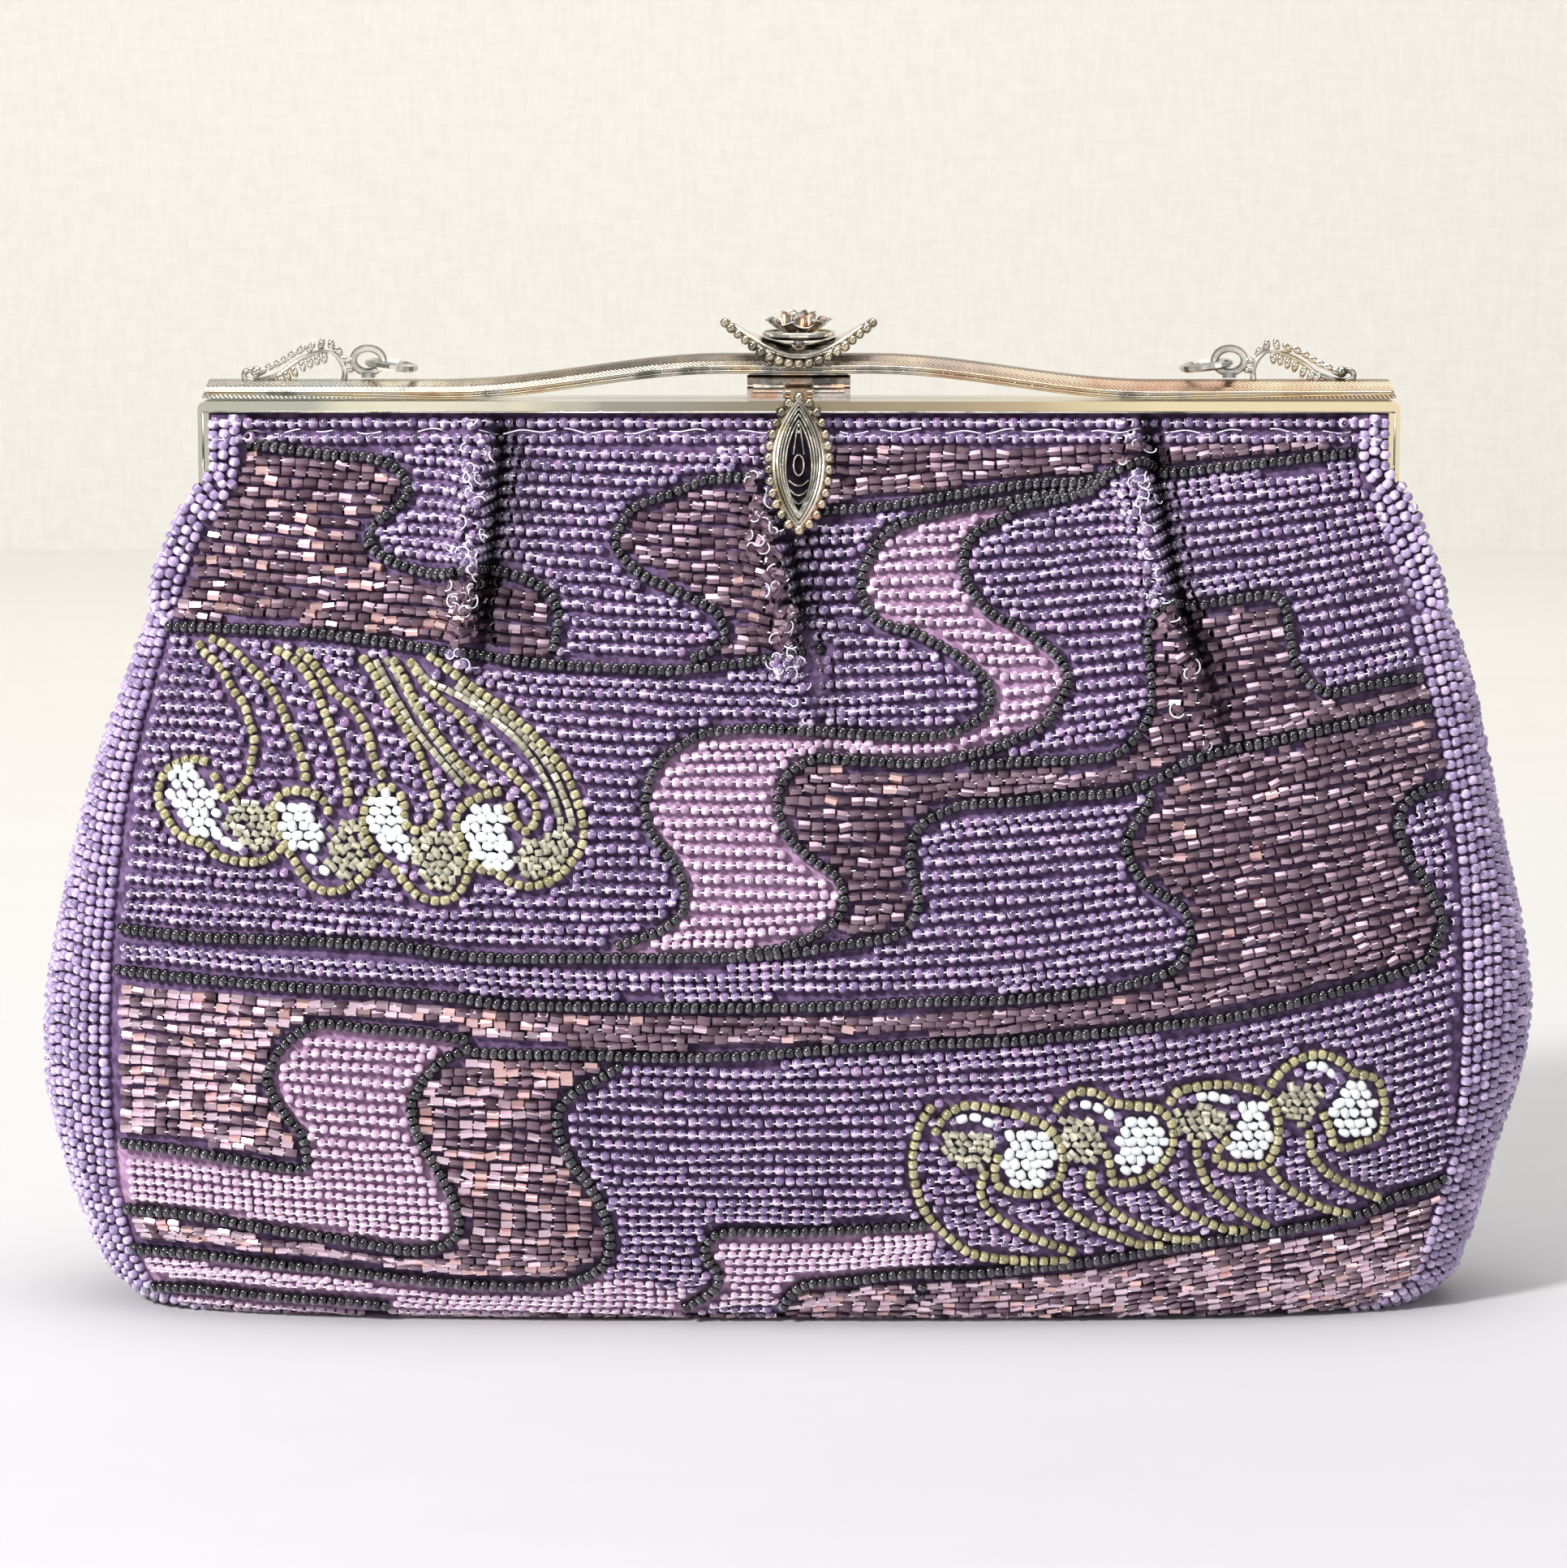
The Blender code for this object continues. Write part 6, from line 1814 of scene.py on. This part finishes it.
# The cloth that swells round each leg's lower end: height, then left and right reach, all in mm
SWELL = np.array(
    ((107.5, 97.6, 97.4), (109, 99.0, 98.8), (111, 100.0, 99.7), (113, 99.7, 99.3), (116, 98.8, 98.3),
     (119, 97.5, 97.0), (122, 96.3, 95.9), (125, 95.0, 95.0), (127, 93.9, 94.1), (128.7, 92.7, 92.9),
     (130, 91.4, 91.6), (131, 90.6, 90.6), (139, 90.4, 90.4))
)
# How far back it runs beside the leg: height and y, in mm
SWELL_BACK = np.array(((107.5, -3.4), (117, -3.4), (122, -4.6), (127, -6.0), (129.5, -6.45), (131, -6.45)))
# The leg's outer side and the cloth's face before it, then the cloth's foot, top and inner edge, in mm
LEG_OUTSIDE, SWELL_FACE = 92.15, -6.9
SWELL_FOOT, SWELL_TOP, SWELL_INNER = 107.5, 130.6, 86.0


def swell_edge(height, side):
    """How far the swelling reaches at each height, in mm."""
    return np.interp(height, SWELL[:, 0], SWELL[:, 1 if side < 0 else 2])


def swell_back(height):
    return np.interp(height, SWELL_BACK[:, 0], SWELL_BACK[:, 1])


def swell_cloth(name, side, way):
    """Closed cloth in front of and beside one leg; way is -1 in front and 1 behind."""
    rings = []
    for height in np.linspace(SWELL_FOOT, SWELL_TOP, 19):
        edge, back = swell_edge(height, side), -swell_back(height)
        places = (
            (SWELL_INNER, 6.5), (SWELL_INNER, 6.8), (edge - 1.5, -SWELL_FACE), (edge - 0.95, 6.4),
            (edge - 1.0, back), (min(LEG_OUTSIDE, edge - 1.0), back), (min(LEG_OUTSIDE, edge - 1.0), 6.45),
        )
        rings.append([(side * x * MM, way * y * MM, height * MM) for x, y in places])
    count, points = len(rings[0]), [point for ring in rings for point in ring]
    faces = [tuple(range(count)), tuple(range(len(points) - count, len(points)))]
    made = plain_mesh(name, points, faces + quads(len(rings), count), MATERIALS["cloth"])
    # painted shade over all of the cloth beside the leg
    mark(made.data, "shade", np.full(len(points), 0.75))
    mark(made.data, "pale", np.zeros(len(points)))
    turn_faces(made)
    return made


# Columns of beads on the swelling: the ones on its face, then the depths of the ones beside the leg
FACE_COLUMNS, SIDE_COLUMNS = 6, (-5.75, -4.2)


def swell_column(column, side, z):
    """One column's x and y, its outward way and which of its beads are kept."""
    edge = swell_edge(z / MM, side) * MM
    if column >= FACE_COLUMNS:
        y = np.full(z.shape, SIDE_COLUMNS[column - FACE_COLUMNS] * MM)
        return edge - 0.35 * MM, y, (side, -0.4, 0.0), (y < (swell_back(z / MM) - 0.3) * MM) & (z < 127 * MM)
    x = edge - (0.95 + 1.58 * column) * MM
    y = np.full(z.shape, (-7.15 if column == 0 else -7.45) * MM)
    px, py = seen_at(np.stack((side * x, y, z), 1))
    return x, y, (0.5 * side if column == 0 else 0.0, -1.0, 0.0), side * (px - seam_place(py, side)) > -5


def swell_beads():
    """Columns of beads from each panel seam to the outline, then round it beside the leg."""
    found = Beads()
    for side in (-1, 1):
        for column in range(FACE_COLUMNS + len(SIDE_COLUMNS)):
            z = (np.arange(108.6, 138.6, 1.64) + rng.uniform(0, 0.8)) * MM
            x, y, out, kept = swell_column(column, side, z)
            if kept.sum() < 2:
                continue
            points = np.stack((side * x, y, z), 1)[kept] + rng.normal(0, 0.07 * MM, (kept.sum(), 3))
            along = unit(np.gradient(points, axis=0) + rng.normal(0, 0.05 * MM, points.shape))
            found.add(points, along, unit(np.tile(out, (len(points), 1))), KINDS["lavender"][:2])
    return found.arrays()


# The flat cloth behind each leg: inner and outer side, foot, top and depth
STRIP = (84.5, 91.0, 110.5, 139.6)
STRIP_Y = 5.9


def make_corners():
    """Cloth and beads between each panel seam and the frame's legs, front and rear."""
    beads = swell_beads()
    inner, outer, foot, top = STRIP
    for half, way in HALVES:
        for side_name, side in (("left", -1), ("right", 1)):
            corners = ((inner, foot), (outer, foot), (outer, top), (inner, top))
            points = [(side * x * MM, way * STRIP_Y * MM, z * MM) for x, z in corners]
            name = f"corner_cloth_{half}_{side_name}"
            strip = plain_mesh(name, points, ((0, 1, 2, 3),), MATERIALS["cloth"], False)
            # painted shade over the flat strip behind the leg
            mark(strip.data, "shade", (0.6, 0.6, 0.6, 0.6))
            mark(strip.data, "pale", (0, 0, 0, 0))
            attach(strip, f"{half}_half")
            hang(swell_cloth(f"swell_cloth_{half}_{side_name}", side, way))
        placed_beads = beads if way < 0 else mirrored(beads)
        hang(bead_mesh(f"corner_beads_{half}", placed_beads, "round", MATERIALS["gusset"]))


SENSOR = 36


def make_camera():
    data = bpy.data.cameras.new("photo_camera")
    data.sensor_fit = "AUTO"
    data.sensor_width = SENSOR
    data.lens = FOCAL / max(PHOTO_WIDTH, PHOTO_HEIGHT) * SENSOR
    data.clip_start = 0.05
    data.clip_end = 30
    made = linked("photo_camera", data)
    made.location = Vector(CAMERA_AT)
    made.rotation_euler = (math.pi / 2 - CAMERA_PITCH, 0, -CAMERA_YAW)
    bpy.context.scene.camera = made


def paper_material(name, near, far, low, high, weave, strength):
    """Backdrop paper, shaded along y, with a faint woven grain."""
    nodes = Material(name)
    place = nodes.place()
    share = nodes.span(nodes.add("SeparateXYZ", "Y", {"Vector": place}), low, high)
    colours = nodes.ramp(share, ((0.0, near), (1.0, far)))
    grains = []
    for stretch in ((weave, 60, weave * 0.22), (weave * 0.22, 60, weave)):
        turned = nodes.add("Mapping", "Vector", {"Vector": place, "Scale": stretch})
        grains.append(nodes.noise(turned, 1.0, 3))
    grain = nodes.maths("MULTIPLY", nodes.maths("ADD", *grains), 0.5)
    shade = nodes.ramp(grain, ((0.36, (0.93, 0.93, 0.92)), (0.64, (1, 1, 1))))
    colours = nodes.mixed(colours, shade, strength)
    return nodes.finished({"Base Color": colours, "Roughness": 0.85, "Specular IOR Level": 0.2})


STAGE_HALF, STAGE_FRONT, WALL_Y, WALL_TOP = 3, -1.6, 1.08, 2.6


def make_stage():
    """A white table that meets a papered cream wall."""
    ends = (-STAGE_HALF, STAGE_HALF, STAGE_HALF, -STAGE_HALF)
    face = ((0, 1, 2, 3),)
    # painted shade: the table is darker from the wall towards the front, round the bag
    white = paper_material("table_white", srgb(186, 186, 191), srgb(221, 219, 214), -0.1, 0.8, 40, 0.25)
    cream = paper_material("wall_paper", srgb(214, 212, 207), srgb(214, 212, 207), 0, 2, 520, 1.0)
    table = [(x, y, 0) for x, y in zip(ends, (STAGE_FRONT, STAGE_FRONT, WALL_Y, WALL_Y))]
    wall = [(x, WALL_Y, z) for x, z in zip(ends, (0, 0, WALL_TOP, WALL_TOP))]
    plain_mesh("table_top", table, face, white, False)
    plain_mesh("wall", wall, face, cream, False)


def area_light(name, at, towards, size, power, colour=(1, 1, 1), tall=None):
    data = bpy.data.lights.new(name, "AREA")
    data.shape = "RECTANGLE"
    data.size = size
    data.size_y = tall or size
    data.energy = power
    data.color = colour
    made = linked(name, data)
    made.location = at
    made.rotation_euler = (Vector(towards) - Vector(at)).to_track_quat("-Z", "Y").to_euler()


def make_light():
    world = bpy.data.worlds.new("room")
    bpy.context.scene.world = world
    world.use_nodes = True
    nodes = Nodes(world.node_tree)
    stops = ((0.40, (0.05, 0.045, 0.04)), (0.49, (0.45, 0.41, 0.37)), (0.56, (0.95, 0.93, 0.90)),
             (0.7, (1, 1, 1)))
    room = nodes.ramp(nodes.noise(nodes.place("Generated"), 2.4, 1), stops)
    nodes.feed(world.node_tree.nodes["Background"], {"Color": room, "Strength": 0.60})
    area_light("key", (-0.86, -0.94, 0.90), (0, 0, 0.08), 0.18, 30, (1.0, 0.98, 0.96))
    area_light("front_card", (-0.05, -2.3, 0.05), (0, 0, 0.05), 1.5, 2.5, (1.0, 0.96, 0.88), 0.55)
    area_light("fill", (0.9, -1.1, 0.5), (0, 0, 0.06), 0.8, 3.0, (0.93, 0.96, 1.0))
    area_light("over", (0.0, -0.1, 1.3), (0, 0.1, 0.0), 0.9, 7)
    area_light("wall_wash", (0.25, 0.1, 1.5), (0.1, 1.08, 0.25), 1.2, 9, (1.0, 0.98, 0.94))


make_beadwork()
make_threads()
make_cloth()
make_corners()
make_metal()
make_camera()
make_stage()
make_light()

scene = bpy.context.scene
scene.view_settings.view_transform = "Standard"
scene.view_settings.look = "None"
